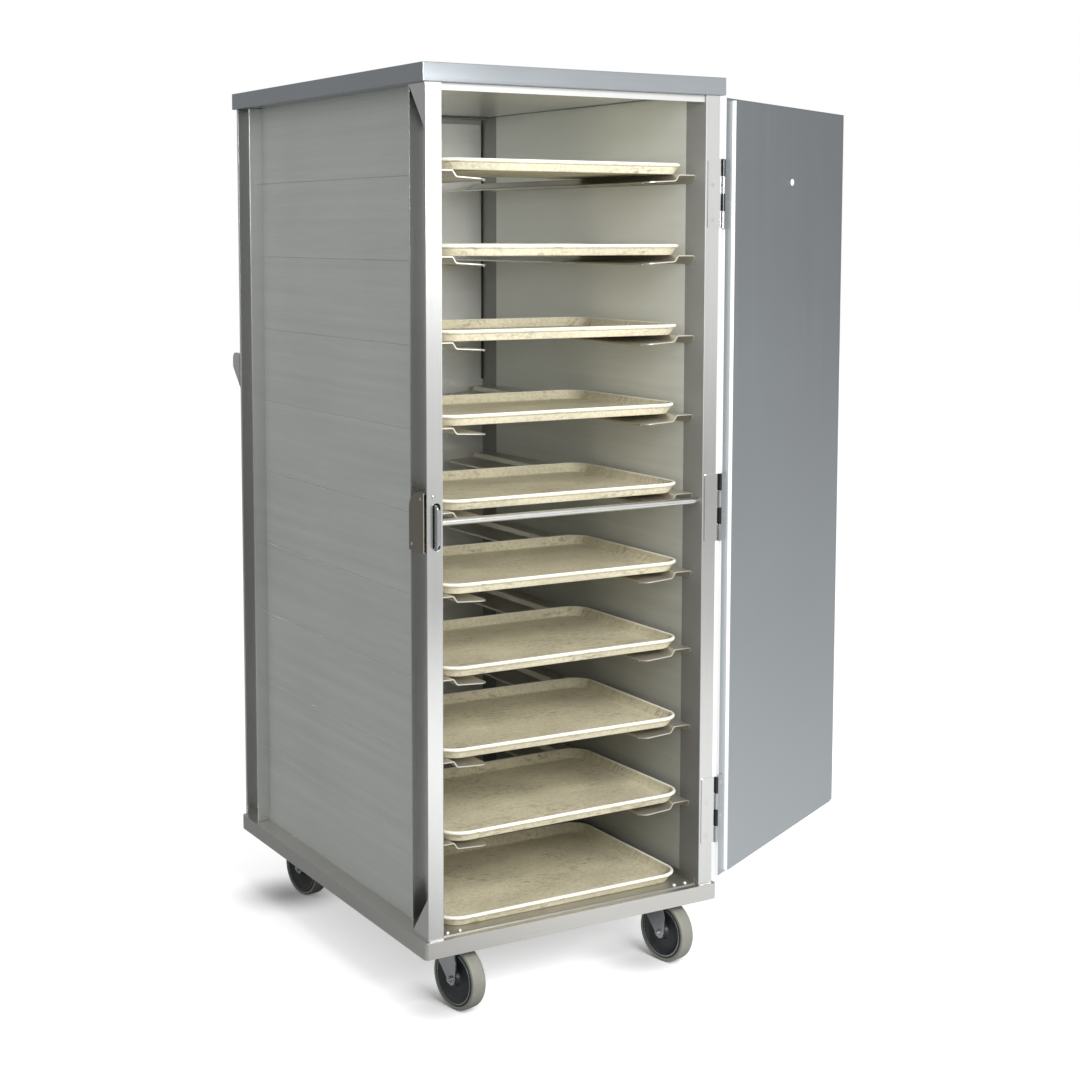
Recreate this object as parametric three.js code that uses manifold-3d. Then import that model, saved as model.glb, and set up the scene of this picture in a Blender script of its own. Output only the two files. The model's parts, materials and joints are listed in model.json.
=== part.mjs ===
// Enclosed meal tray cart: an aluminium cabinet on four swivel casters, with nine pairs of
// ledges, ten trays, a door on three butt hinges that stands open, a slide latch, a tie rod
// across the mouth and a push handle on the back.
//
// Millimetres, +Z up, the door opening faces -Y. The cabinet is sized around the trays.

import * as THREE from 'three';
import { mergeVertices } from 'three/addons/utils/BufferGeometryUtils.js';
import Module from 'manifold-3d';

const wasm = await Module();
wasm.setup();

// ---------------------------------------------------------------------------------------
// Driving dimensions
// ---------------------------------------------------------------------------------------

// Trays: 22 by 16 inch fibreglass, one row at the front of the cart and room for a second.
const tray = {
  width: 559, depth: 406, height: 22.2, corner: 50, flare: 13.5, sheet: 3, rim: 5, rimHeight: 4, floorFillet: 3,
};
const trayFit = { sideGap: 18, rows: 2, spareDepth: 114, levels: 10, lift: 0.3 };
const trayFront = [29, 33, 37, 45, 35, 31, 32, 30, 24, 30]; // from the post fronts back to each tray's rim
const traySkew = [0.3, -0.6, 0.3, 0.8, 0, 0.1, 0.7, -0.8, 0.9, 0.1]; // degrees, as they were left

// Ledges: bent sheet with an upper seat, a step down and a lower seat for narrower trays.
const ledge = {
  pitch: 161.5, topSpace: 157, bottomSpace: 174, seat: 9.6, stepRun: 7.8, stepDrop: 11.8, lowerSeat: 68.7,
  fall: 4, sheet: 2.2, leg: 18, hem: 4, endInset: 34, cornerCut: 17,
};

// Corner posts: channels that open to the cart's sides.
const post = { width: 33.5, depth: 69, sheet: 3, sideInset: 9, endInset: 6, gussetRise: 85 };
const header = { height: 14, depth: 30, setBack: 6, sheet: 3 };

const wall = { sheet: 3, seamBelowLedge: 9.8, seamWidth: 2.2, seamDepth: 1.2 };
const base = { height: 33, rail: 50, sheet: 3, corner: 8, cross: 94, crossSheet: 4 };
const cap = { height: 35, overhang: 2.5, sheet: 2.5, lip: 50 };
const ceiling = { sheet: 2, seat: 20 };
const floorPan = { sheet: 2, rise: 15, frontInset: 11, gap: 0.3 };
const tieRod = { diameter: 13, behindPostFront: 17, belowLedge: 15, ledgeAbove: 5 };

const handle = {
  bar: 25, standOff: 29, aboveBase: 1060.5, bracket: 4, bracketCorner: 15, bracketEdge: 17, bracketRise: 80,
  foot: 34, footSheet: 3,
};

const door = {
  flange: 6, raised: 8, skin: 1.5, flangeSide: 46, freeFlange: 30, edgeReveal: 4, lap: 7.5, topGap: 3,
  bottomGap: 9, hingeGap: 6, openAngle: 208.5, ventHole: 12, ventBelowTop: 161, ventFromPin: 335,
};
const hinge = {
  knuckle: 9.4, pin: 5, pinFit: 0.3, sheet: 1.9, leafGap: 0.2, length: 139, leafWidth: 28, pinFromPost: 8.3,
  endGap: 0.4, belowSoffit: [195, 832, 1466.6],
};

const latch = {
  slotWidth: 16, slotHeight: 90, slotFromInside: 5, centreAboveBase: 800, caseRise: 64, caseDrop: 49,
  caseSheet: 2, caseProud: 4.5, caseFrontGap: 3.5, caseFit: 0.3, shoulder: 34, bolt: 2.5, boltFit: 3,
  boltCorner: 8, lip: 4, nose: 14, tail: 24, guide: 5, guideFit: 0.3, guideSpacing: 50, restInset: 2,
};

// Casters: their plates are bolted up inside the base rail, so the rail's edge hides the races.
const caster = {
  wheel: 127, tread: 32, hub: 38, height: 152, recess: 19.5, trail: 42, swivelAngle: -79.6,
  fromSide: 94.6, fromEnd: 96, plateX: 86, plateY: 88, plateCorner: 8, plateSheet: 3,
  race: 56, raceTaper: 5, raceGap: 0.3, axle: 8, axleFit: 0.3, nut: 13, nutHeight: 5, nutProud: 2, crownGap: 4,
};
// Fork, seen from its side with the swivel at 0: back and front ends of the crown, the nose below
// them, the edge above the axle and the round end.
const fork = { sheet: 3, gap: 1, back: -26, front: 30, backDrop: 6, noseX: 48, noseDrop: 8, edge: 16, edgeZ: 100, end: 13 };
// Wheel, from its middle: radii of the hub's face and foot, then depths in from the tread.
const wheelForm = { hubFace: 14, hubFoot: 18, webHalf: 8, rimDepth: 19, rimHalf: 7, treadDepth: 15, shoulder: 4, crown: 7 };

// ---------------------------------------------------------------------------------------
// Sizes that follow from them
// ---------------------------------------------------------------------------------------

const insideX = tray.width / 2 + trayFit.sideGap;               // inner faces of the side walls and posts
const postOutX = insideX + post.width;
const baseX = postOutX + post.sideInset;
const postEndY = (tray.depth * trayFit.rows + trayFit.spareDepth) / 2; // front and rear faces of the posts
const postInY = postEndY - post.depth;
const baseY = postEndY + post.endInset;
const capX = baseX;
const capY = baseY + cap.overhang;

const baseZ = caster.height - caster.recess;
const deckZ = baseZ + base.height;                              // top of the base rails
const ledgeCount = trayFit.levels - 1;
const bodyHeight = ledge.topSpace + ledge.pitch * (ledgeCount - 1) + ledge.bottomSpace;
const soffitZ = deckZ + bodyHeight;                             // underside of the cap
const capTopZ = soffitZ + cap.height;
const ledgeZ = (level) => soffitZ - ledge.topSpace - ledge.pitch * level;
const upperSeat = trayFit.sideGap + tray.flare + ledge.seat;

// ---------------------------------------------------------------------------------------
// Colours
// ---------------------------------------------------------------------------------------

const finish = (name, color, roughness, metalness) =>
  new THREE.MeshStandardMaterial({ name, color, roughness, metalness, flatShading: true });

const finishes = {
  panel: finish('panel_aluminium', 0xb4b6b3, 0.42, 0.9),
  frame: finish('frame_aluminium', 0xc9cac6, 0.35, 0.9),
  ledge: finish('ledge_aluminium', 0xa6a298, 0.4, 0.9),
  door: finish('door_aluminium', 0x9ba0a3, 0.45, 0.9),
  tray: finish('tray_fibreglass', 0xaaa07d, 0.55, 0),
  zinc: finish('plated_steel', 0xb9bcbe, 0.3, 1),
  latch: finish('latch_steel', 0x8a857c, 0.4, 0.9),
  wheel: finish('caster_wheel', 0x8b867e, 0.7, 0),
};

// ---------------------------------------------------------------------------------------
// Shapes and solids
// ---------------------------------------------------------------------------------------

const positionsOnly = (geometry) => {
  const bare = geometry.clone();
  bare.deleteAttribute('normal');
  bare.deleteAttribute('uv');
  return mergeVertices(bare, 1e-4);
};

const toSolid = (geometry) => {
  const merged = positionsOnly(geometry);
  return new wasm.Manifold(new wasm.Mesh({
    numProp: 3,
    vertProperties: new Float32Array(merged.attributes.position.array),
    triVerts: new Uint32Array(merged.index.array),
  }));
};

const toGeometry = (solid) => {
  const mesh = solid.getMesh();
  const geometry = new THREE.BufferGeometry();
  geometry.setAttribute('position', new THREE.BufferAttribute(new Float32Array(mesh.vertProperties), 3));
  geometry.setIndex(new THREE.BufferAttribute(new Uint32Array(mesh.triVerts), 1));
  geometry.computeVertexNormals();
  return geometry;
};

// A join or a cut leaves slivers where flat faces meet, so each result is tidied to a few microns.
const tidy = (solid) => toGeometry(solid.asOriginal().simplify(0.004));
const join = (...parts) => tidy(parts.map(toSolid).reduce((a, b) => a.add(b)));
const cut = (part, ...tools) => tidy(tools.map(toSolid).reduce((a, b) => a.subtract(b), toSolid(part)));

// A box between two corners.
function block([x0, y0, z0], [x1, y1, z1]) {
  return new THREE.BoxGeometry(x1 - x0, y1 - y0, z1 - z0)
    .translate((x0 + x1) / 2, (y0 + y1) / 2, (z0 + z1) / 2);
}

const polygon = (points) => new THREE.Shape(points.map(([x, y]) => new THREE.Vector2(x, y)));

const rectangle = (halfX, halfY) =>
  polygon([[halfX, -halfY], [halfX, halfY], [-halfX, halfY], [-halfX, -halfY]]);

// A rectangle about the origin with round corners, as a Shape.
function roundedRectangle(halfX, halfY, radius) {
  const shape = new THREE.Shape();
  shape.moveTo(halfX - radius, -halfY);
  shape.absarc(halfX - radius, -halfY + radius, radius, -Math.PI / 2, 0);
  shape.absarc(halfX - radius, halfY - radius, radius, 0, Math.PI / 2);
  shape.absarc(-halfX + radius, halfY - radius, radius, Math.PI / 2, Math.PI);
  shape.absarc(-halfX + radius, -halfY + radius, radius, Math.PI, 1.5 * Math.PI);
  return shape;
}

const arcSteps = 2; // an arc gets two chords for each
const extrude = (shape, depth) =>
  new THREE.ExtrudeGeometry(shape, { depth, bevelEnabled: false, curveSegments: arcSteps });

// Extrusions between two values on an axis. The shape's axes are (x, y), (x, z) and (y, z).
const alongZ = (shape, z0, z1) => extrude(shape, z1 - z0).translate(0, 0, z0);

const basisXZ = new THREE.Matrix4().makeBasis(
  new THREE.Vector3(1, 0, 0), new THREE.Vector3(0, 0, 1), new THREE.Vector3(0, -1, 0));
const alongY = (shape, y0, y1) => extrude(shape, y1 - y0).applyMatrix4(basisXZ).translate(0, y1, 0);

const basisYZ = new THREE.Matrix4().makeBasis(
  new THREE.Vector3(0, 1, 0), new THREE.Vector3(0, 0, 1), new THREE.Vector3(1, 0, 0));
const alongX = (shape, x0, x1) => extrude(shape, x1 - x0).applyMatrix4(basisYZ).translate(x0, 0, 0);

// Round bars between two values on an axis, through a point of the other two.
function bar(axis, radius, from, to, [a, b], sides = 16) {
  const rod = new THREE.CylinderGeometry(radius, radius, to - from, sides);
  const middle = (from + to) / 2;
  if (axis === 'x') return rod.rotateZ(Math.PI / 2).translate(middle, a, b);
  if (axis === 'y') return rod.translate(a, middle, b);
  return rod.rotateX(Math.PI / 2).translate(a, b, middle);
}

// ---------------------------------------------------------------------------------------
// Cabinet
// ---------------------------------------------------------------------------------------

// Base: rails of inverted channel round the edge, and a cross channel that carries each caster pair.
function baseFrame() {
  const ring = (outset, inset, z0, z1) => {
    const rail = outset ? rectangle(baseX - outset, baseY - outset) : roundedRectangle(baseX, baseY, base.corner);
    rail.holes.push(rectangle(baseX - inset, baseY - inset));
    return alongZ(rail, z0, z1);
  };
  const innerX = baseX - base.rail + base.sheet;
  const innerY = baseY - base.rail + base.sheet;
  const crossEnd = baseY - base.rail - base.cross;
  const crossPieces = [-1, 1].flatMap((side) => {
    const ys = [side * crossEnd, side * innerY].sort((a, b) => a - b);
    const lip = [side * crossEnd, side * (crossEnd + base.sheet)].sort((a, b) => a - b);
    return [
      block([-innerX, ys[0], caster.height], [innerX, ys[1], caster.height + base.crossSheet]),
      block([-innerX, lip[0], baseZ], [innerX, lip[1], deckZ]),
    ];
  });
  return join(
    ring(0, base.rail, deckZ - base.sheet, deckZ),
    ring(0, base.sheet, baseZ, deckZ),
    ring(base.rail - base.sheet, base.rail, baseZ, deckZ),
    ...crossPieces,
  );
}

// Floor pan: flat at the front, turned up along the sides and the back.
function floorPanSheet() {
  const x = insideX - floorPan.gap;
  const front = -postEndY + floorPan.frontInset;
  const back = postEndY - floorPan.gap;
  const top = deckZ + floorPan.sheet;
  const section = polygon([
    [-x, deckZ], [x, deckZ], [x, deckZ + floorPan.rise], [x - floorPan.sheet, deckZ + floorPan.rise],
    [x - floorPan.sheet, top], [-x + floorPan.sheet, top],
    [-x + floorPan.sheet, deckZ + floorPan.rise], [-x, deckZ + floorPan.rise],
  ]);
  return join(
    alongY(section, front, back),
    block([-x, back - floorPan.sheet, deckZ], [x, back, deckZ + floorPan.rise]),
  );
}

// A corner post's section: a channel whose web faces the inside of the cart.
// end is -1 at the front and 1 at the back.
function postSection(side, end) {
  const web = insideX + post.sheet;
  return polygon([
    [insideX, postInY], [postOutX, postInY], [postOutX, postInY + post.sheet], [web, postInY + post.sheet],
    [web, postEndY - post.sheet], [postOutX, postEndY - post.sheet], [postOutX, postEndY], [insideX, postEndY],
  ].map(([x, y]) => [side * x, end * y]));
}

// A triangular plate that closes a post's channel at its foot or head.
function postGusset(side, z, rise) {
  const outer = side * postOutX;
  const inner = side * (postOutX - post.sheet);
  const front = -postEndY + post.sheet;
  const plate = polygon([[front, z], [-postInY, z], [front, z + rise]]);
  return alongX(plate, Math.min(outer, inner), Math.max(outer, inner));
}

// The angle that joins two posts under the cap. It stands back from the posts' outer faces.
function headerAngle(end, setBack) {
  const face = postEndY - setBack;
  const section = polygon([
    [face, soffitZ], [face - header.depth, soffitZ], [face - header.depth, soffitZ - header.sheet],
    [face - header.sheet, soffitZ - header.sheet], [face - header.sheet, soffitZ - header.height],
    [face, soffitZ - header.height],
  ].map(([y, z]) => [end * y, z]));
  const reach = insideX + post.sheet / 2;
  return alongX(section, -reach, reach);
}

const slotX = -insideX - latch.slotFromInside - latch.slotWidth / 2; // middle of the latch slot
const slotZ = deckZ + latch.centreAboveBase;

function frontFrame() {
  const slot = roundedRectangle(latch.slotWidth / 2, latch.slotHeight / 2, latch.slotWidth / 2 - 0.5);
  const welded = join(
    ...[-1, 1].flatMap((side) => [
      alongZ(postSection(side, -1), deckZ, soffitZ),
      postGusset(side, deckZ, post.gussetRise),
      postGusset(side, soffitZ, -post.gussetRise),
    ]),
    headerAngle(-1, header.setBack),
  );
  const slotTool = alongY(slot, -postEndY - post.sheet, -postEndY + 2 * post.sheet).translate(slotX, 0, slotZ);
  return cut(welded, slotTool);
}

function rearFrame() {
  return join(
    alongZ(postSection(-1, 1), deckZ, soffitZ),
    alongZ(postSection(1, 1), deckZ, soffitZ),
    headerAngle(1, 0),
  );
}

// Side wall: planks that meet in a shallow V seam below each ledge, on the outside.
function sideWall(side) {
  const outer = insideX + wall.sheet;
  const edge = [[insideX, deckZ], [outer, deckZ]];
  for (let level = ledgeCount - 1; level >= 0; level -= 1) {
    const z = ledgeZ(level) - wall.seamBelowLedge;
    edge.push([outer, z - wall.seamWidth / 2], [outer - wall.seamDepth, z], [outer, z + wall.seamWidth / 2]);
  }
  edge.push([outer, soffitZ], [insideX, soffitZ]);
  return alongY(polygon(edge.map(([x, z]) => [side * x, z])), -postInY, postInY);
}

const backWall = () =>
  block([-postOutX, postEndY, deckZ], [postOutX, postEndY + wall.sheet, soffitZ]);

// Cap: an upside-down pan with a lip turned in all round, which the posts and walls meet.
function topCap() {
  const t = cap.sheet;
  return cut(
    block([-capX, -capY, soffitZ], [capX, capY, capTopZ]),
    block([-capX + t, -capY + t, soffitZ + t], [capX - t, capY - t, capTopZ - t]),
    block([-capX + cap.lip, -capY + cap.lip, soffitZ - t], [capX - cap.lip, capY - cap.lip, soffitZ + 2 * t]),
  );
}

// Ceiling: a sheet that lies on the cap's lips.
function ceilingPanel() {
  const x = capX - cap.lip + ceiling.seat;
  const y = capY - cap.lip + ceiling.seat;
  const z = soffitZ + cap.sheet;
  return block([-x, -y, z], [x, y, z + ceiling.sheet]);
}

function tieRodBar() {
  const z = ledgeZ(tieRod.ledgeAbove - 1) - tieRod.belowLedge;
  return bar('x', tieRod.diameter / 2, -insideX, insideX, [-postEndY + tieRod.behindPostFront, z]);
}

// Ledge: leg, upper seat, step, lower seat and hem in one bent sheet, its inner corners cut off.
function sideLedge(side, level) {
  const z = ledgeZ(level);
  const t = ledge.sheet;
  const step = insideX - upperSeat;
  const low = step - ledge.stepRun;
  const tip = low - ledge.lowerSeat;
  const lowZ = z - ledge.stepDrop;
  const tipZ = lowZ - ledge.fall;
  const section = polygon([
    [insideX, z], [step, z], [low, lowZ], [tip, tipZ], [tip, tipZ - ledge.hem], [tip + t, tipZ - ledge.hem],
    [tip + t, tipZ - t], [low + t / 2, lowZ - t], [step + t / 2, z - t], [insideX - t, z - t],
    [insideX - t, z - ledge.leg], [insideX, z - ledge.leg],
  ].map(([x, h]) => [side * x, h]));
  const endY = postEndY - ledge.endInset;
  const reach = ledge.cornerCut;
  const corner = (end) => alongZ(polygon([
    [tip - 1, endY + 1], [tip - 1, endY - reach], [tip + reach + 1, endY + 1],
  ].map(([x, y]) => [side * x, end * y])), tipZ - 2 * ledge.leg, z + ledge.leg);
  return cut(alongY(section, -endY, endY), corner(-1), corner(1));
}

// Push handle: a round bar between two triangular brackets with feet on the back wall.
function pushHandle() {
  const face = postEndY + wall.sheet;
  const barY = face + handle.standOff;
  const z = deckZ + handle.aboveBase;
  const round = handle.bracketCorner;
  const footZ = z + round - handle.bracketRise;
  const outline = new THREE.Shape();
  outline.moveTo(face, z + round);
  outline.lineTo(barY, z + round);
  outline.absarc(barY, z, round, Math.PI / 2, 0, true);
  outline.lineTo(barY + round, z - handle.bracketEdge);
  outline.lineTo(face, footZ);
  outline.closePath();
  const half = postOutX;
  const bracket = (side) => {
    const xs = [side * half, side * (half - handle.bracket)].sort((a, b) => a - b);
    return alongX(outline, xs[0], xs[1]);
  };
  const foot = (side) => {
    const xs = [side * half, side * (half - handle.foot)].sort((a, b) => a - b);
    return block([xs[0], face, footZ], [xs[1], face + handle.footSheet, z + round]);
  };
  return join(
    bar('x', handle.bar / 2, -half + handle.bracket / 2, half - handle.bracket / 2, [barY, z]),
    bracket(-1), bracket(1), foot(-1), foot(1),
  );
}

// ---------------------------------------------------------------------------------------
// Trays
// ---------------------------------------------------------------------------------------

// A closed skin over a stack of round-cornered rings, with a flat face at each end.
function loftRings(rings) {
  const points = [];
  const faces = [];
  const loops = rings.map(({ halfX, halfY, radius, z }) => {
    const first = points.length;
    const loop = roundedRectangle(halfX, halfY, radius).getPoints(arcSteps).slice(0, -1);
    loop.forEach(({ x, y }) => points.push(new THREE.Vector3(x, y, z)));
    return { first, count: loop.length };
  });
  const count = loops[0].count;
  const at = (ring, i) => loops[ring].first + (i % count);
  for (let ring = 0; ring + 1 < loops.length; ring += 1) {
    for (let i = 0; i < count; i += 1) {
      faces.push(at(ring, i), at(ring, i + 1), at(ring + 1, i + 1));
      faces.push(at(ring, i), at(ring + 1, i + 1), at(ring + 1, i));
    }
  }
  const last = loops.length - 1;
  for (let i = 1; i + 1 < count; i += 1) {
    faces.push(at(0, 0), at(0, i + 1), at(0, i));
    faces.push(at(last, 0), at(last, i), at(last, i + 1));
  }
  const geometry = new THREE.BufferGeometry().setFromPoints(points);
  geometry.setIndex(faces);
  geometry.computeVertexNormals();
  return geometry;
}

// Tray: flat bottom, sides that flare out, a bead round the rim. Its origin is under its middle.
function trayShell() {
  const ring = (inset, z) => ({
    halfX: tray.width / 2 - inset, halfY: tray.depth / 2 - inset, radius: tray.corner - inset, z,
  });
  const { flare, sheet, rim, rimHeight, height, floorFillet } = tray;
  return loftRings([
    ring(flare, 0),
    ring(rim * 0.6, height - rimHeight),
    ring(0, height - rimHeight * 0.7),
    ring(0, height - rimHeight * 0.3),
    ring(rim * 0.5, height),
    ring(rim, height - rimHeight * 0.4),
    ring(flare + sheet, sheet + floorFillet * 0.7),
    ring(flare + sheet + floorFillet, sheet),
  ]);
}

// ---------------------------------------------------------------------------------------
// Door and hinges. The door's group turns about the hinge pins; inside it the door is shut.
// ---------------------------------------------------------------------------------------

const pinX = postOutX + hinge.pinFromPost;
const pinY = -postEndY - hinge.sheet - hinge.leafGap / 2;
const seatY = -hinge.sheet - hinge.leafGap / 2;                  // inner face of the door's flange, from the pin
const doorTop = soffitZ - door.topGap;
const doorBottom = deckZ + door.bottomGap;
const doorWidth = pinX + insideX + door.lap;                     // from the pins to the free edge

// Door: an outer plate with a raised inner panel that drops into the opening, hollow inside.
// The vent hole goes right through both skins.
function doorPanel() {
  const { skin } = door;
  const outerY = seatY - door.flange;
  const innerY = seatY + door.raised;
  const near = -door.flangeSide;
  const far = -doorWidth + door.freeFlange;
  const low = doorBottom + door.edgeReveal;
  const high = doorTop - door.edgeReveal;
  const body = join(
    block([-doorWidth, outerY, doorBottom], [-door.hingeGap, seatY, doorTop]),
    block([far, outerY + skin / 2, low], [near, innerY, high]),
  );
  return cut(
    body,
    block([far + skin, outerY + skin, low + skin], [near - skin, innerY - skin, high - skin]),
    bar('y', door.ventHole / 2, outerY - skin, innerY + skin, [-door.ventFromPin, doorTop - door.ventBelowTop], 20),
  );
}

const knuckleLength = hinge.length / 4;

// The two knuckles of one leaf. A hinge has four, and the door's leaf has the first from the top.
function knuckles(centreZ, first, bore) {
  const top = centreZ + hinge.length / 2;
  return [first, first + 2].map((i) => {
    const z1 = top - i * knuckleLength - hinge.endGap / 2;
    const z0 = top - (i + 1) * knuckleLength + hinge.endGap / 2;
    const barrel = bar('z', hinge.knuckle / 2, z0, z1, [0, 0], 12);
    return bore ? cut(barrel, bar('z', bore, z0 - 1, z1 + 1, [0, 0], 12)) : barrel;
  });
}

// A leaf runs from its knuckles over the face that it's fixed to, and is cut clear of the
// other leaf's knuckles. Its origin is on the pin. inner and outer are its two faces in Y.
function hingeLeaf(centreZ, first, bore, inner, outer) {
  const half = hinge.length / 2;
  const reach = hinge.pinFromPost + hinge.leafWidth;
  const plate = block(
    [-reach, Math.min(inner, outer), centreZ - half], [0, Math.max(inner, outer), centreZ + half]);
  const clear = hinge.knuckle / 2 + hinge.endGap;
  const notches = [1 - first, 3 - first].map((i) => {
    const z1 = centreZ + half - i * knuckleLength + hinge.endGap / 2;
    const z0 = z1 - knuckleLength - hinge.endGap;
    return block([-clear, -clear, z0], [clear, clear, z1]);
  });
  if (bore) notches.push(bar('z', bore, centreZ - half - 1, centreZ + half + 1, [0, 0], 12));
  return join(cut(plate, ...notches), ...knuckles(centreZ, first, bore));
}

function frameLeaf(centreZ) {
  const half = hinge.length / 2;
  const leaf = hingeLeaf(centreZ, 1, 0, hinge.leafGap / 2, hinge.leafGap / 2 + hinge.sheet);
  return join(leaf, bar('z', hinge.pin / 2, centreZ - half, centreZ + half, [0, 0], 12));
}

const doorLeafGap = 0.3;
const doorLeaf = (centreZ) => {
  const face = -hinge.leafGap / 2;
  return hingeLeaf(centreZ, 0, hinge.pin / 2 + hinge.pinFit, face, seatY + doorLeafGap);
};

// ---------------------------------------------------------------------------------------
// Latch: a case in the left front post's channel, and a hooked bolt that slides sideways on
// two guide pins. Its nose comes out of the slot and its lip laps over the shut door's edge.
// ---------------------------------------------------------------------------------------

const caseInX = -insideX - post.sheet - latch.caseFit;
const caseOutX = -postOutX - latch.caseProud;
const caseFrontY = -postEndY + post.sheet + latch.caseFrontGap;
const caseBackY = -postInY - post.sheet - latch.caseFit;
const caseLow = slotZ - latch.caseDrop;
const caseHigh = slotZ + latch.caseRise;
const boltLeft = slotX - latch.slotWidth / 2 + latch.restInset;   // at rest, clear of the door
const guideY = caseFrontY + latch.tail / 2;

function latchCase() {
  const outline = (inset) => {
    const shape = new THREE.Shape();
    const radius = latch.shoulder - inset;
    shape.moveTo(caseFrontY - (inset ? 1 : 0), caseLow + inset);
    shape.lineTo(caseBackY - inset, caseLow + inset);
    shape.absarc(caseBackY - inset - radius, caseHigh - inset - radius, radius, 0, Math.PI / 2, false);
    shape.lineTo(caseFrontY - (inset ? 1 : 0), caseHigh - inset);
    shape.closePath();
    return shape;
  };
  const t = latch.caseSheet;
  const shell = cut(
    alongX(outline(0), caseOutX, caseInX),
    alongX(outline(t), caseOutX + t, caseInX - t),
  );
  const guides = [-1, 1].map((end) => bar('x', latch.guide / 2, caseOutX + t / 2, caseInX - t / 2,
    [guideY, slotZ + end * latch.guideSpacing / 2], 16));
  return join(shell, ...guides);
}

function latchBolt() {
  const noseY = -postEndY - latch.nose;
  const tailY = caseFrontY + latch.tail;
  const half = latch.slotHeight / 2 - latch.boltFit;
  const corner = latch.boltCorner;
  const side = new THREE.Shape();
  side.moveTo(tailY, slotZ - half);
  side.lineTo(tailY, slotZ + half);
  side.lineTo(noseY + corner, slotZ + half);
  side.absarc(noseY + corner, slotZ + half - corner, corner, Math.PI / 2, Math.PI, false);
  side.absarc(noseY + corner, slotZ - half + corner, corner, Math.PI, 1.5 * Math.PI, false);
  side.closePath();
  const lip = block([boltLeft, noseY, slotZ - half + corner],
    [boltLeft + latch.bolt + latch.lip, noseY + latch.bolt, slotZ + half - corner]);
  const holeR = latch.guide / 2 + latch.guideFit;
  const holes = [-1, 1].map((end) => bar('x', holeR, boltLeft - 1, boltLeft + latch.bolt + 1,
    [guideY, slotZ + end * latch.guideSpacing / 2], 16));
  return cut(join(alongX(side, boltLeft, boltLeft + latch.bolt), lip), ...holes);
}

// ---------------------------------------------------------------------------------------
// Casters. A caster's origin is on its swivel axis at the floor; its wheel trails along +X.
// ---------------------------------------------------------------------------------------

const wheelR = caster.wheel / 2;
const crownZ = caster.wheel + caster.crownGap;                   // underside of the fork's crown
const raceTopZ = caster.height - caster.plateSheet;
const raceMidZ = (crownZ + fork.sheet + raceTopZ) / 2;

// A round, tapered boss on the swivel axis.
const boss = (topR, bottomR, z0, z1) =>
  new THREE.CylinderGeometry(topR, bottomR, z1 - z0, 20).rotateX(Math.PI / 2).translate(0, 0, (z0 + z1) / 2);

function casterPlate() {
  const outline = roundedRectangle(caster.plateX / 2, caster.plateY / 2, caster.plateCorner);
  const cup = boss(caster.race / 2, caster.race / 2 - caster.raceTaper, raceMidZ, raceTopZ);
  return join(alongZ(outline, raceTopZ, caster.height), cup);
}

// Fork: two legs, the crown over the wheel, the race's cone, and the axle with its nuts.
function casterFork() {
  const legY = caster.hub / 2 + fork.gap;
  const topZ = crownZ + fork.sheet;
  const leg = new THREE.Shape();
  leg.moveTo(fork.back, topZ);
  leg.lineTo(fork.back, crownZ - fork.backDrop);
  leg.lineTo(caster.trail - fork.end, wheelR);
  leg.absarc(caster.trail, wheelR, fork.end, Math.PI, 2 * Math.PI, false);
  leg.lineTo(caster.trail + fork.edge, fork.edgeZ);
  leg.lineTo(fork.noseX, crownZ - fork.noseDrop);
  leg.lineTo(fork.front, topZ);
  leg.closePath();
  const outerY = legY + fork.sheet;
  const coneTopR = caster.race / 2 - caster.raceTaper - 1;
  const nutEnd = outerY + caster.nutHeight;
  const axlePlace = [caster.trail, wheelR];
  const nut = (side) => {
    const ys = [side * (outerY - 0.5), side * nutEnd].sort((a, b) => a - b);
    return bar('y', caster.nut / Math.sqrt(3), ys[0], ys[1], axlePlace, 6);
  };
  return join(
    alongY(leg, legY, outerY),
    alongY(leg, -outerY, -legY),
    block([fork.back, -outerY, crownZ], [fork.front, outerY, topZ]),
    boss(coneTopR, coneTopR + caster.raceTaper, crownZ, raceMidZ - caster.raceGap),
    bar('y', caster.axle / 2, -nutEnd - caster.nutProud, nutEnd + caster.nutProud, axlePlace, 16),
    nut(-1), nut(1),
  );
}

// Wheel: hub, thin web, rim and crowned tread in one revolved section, bored for the axle.
function casterWheel() {
  const { hubFace, hubFoot, webHalf, rimDepth, rimHalf, treadDepth, shoulder, crown } = wheelForm;
  const side = caster.tread / 2;
  const half = [
    [caster.axle / 2 + caster.axleFit, caster.hub / 2], [hubFace, caster.hub / 2], [hubFoot, webHalf],
    [wheelR - rimDepth, rimHalf], [wheelR - treadDepth, side], [wheelR - shoulder, side], [wheelR, side - crown],
  ];
  const ring = [...half, ...half.toReversed().map(([r, y]) => [r, -y])];
  const section = ring.map(([r, y]) => new THREE.Vector2(r, y));
  section.push(section[0].clone());
  return new THREE.LatheGeometry(section.toReversed(), 24).rotateY(Math.PI / 2).translate(caster.trail, 0, wheelR);
}

// ---------------------------------------------------------------------------------------
// Assembly
// ---------------------------------------------------------------------------------------

const cart = new THREE.Group();

function add(name, geometry, material, parent = cart) {
  const mesh = new THREE.Mesh(geometry, material);
  mesh.name = name;
  parent.add(mesh);
  return mesh;
}

add('base_frame', baseFrame(), finishes.frame);
add('floor_pan', floorPanSheet(), finishes.panel);
add('front_frame', frontFrame(), finishes.frame);
add('rear_frame', rearFrame(), finishes.frame);
add('side_wall_left', sideWall(-1), finishes.panel);
add('side_wall_right', sideWall(1), finishes.panel);
add('back_wall', backWall(), finishes.panel);
add('top_cap', topCap(), finishes.frame);
add('ceiling_panel', ceilingPanel(), finishes.panel);
add('tie_rod', tieRodBar(), finishes.zinc);
add('push_handle', pushHandle(), finishes.frame);

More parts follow.
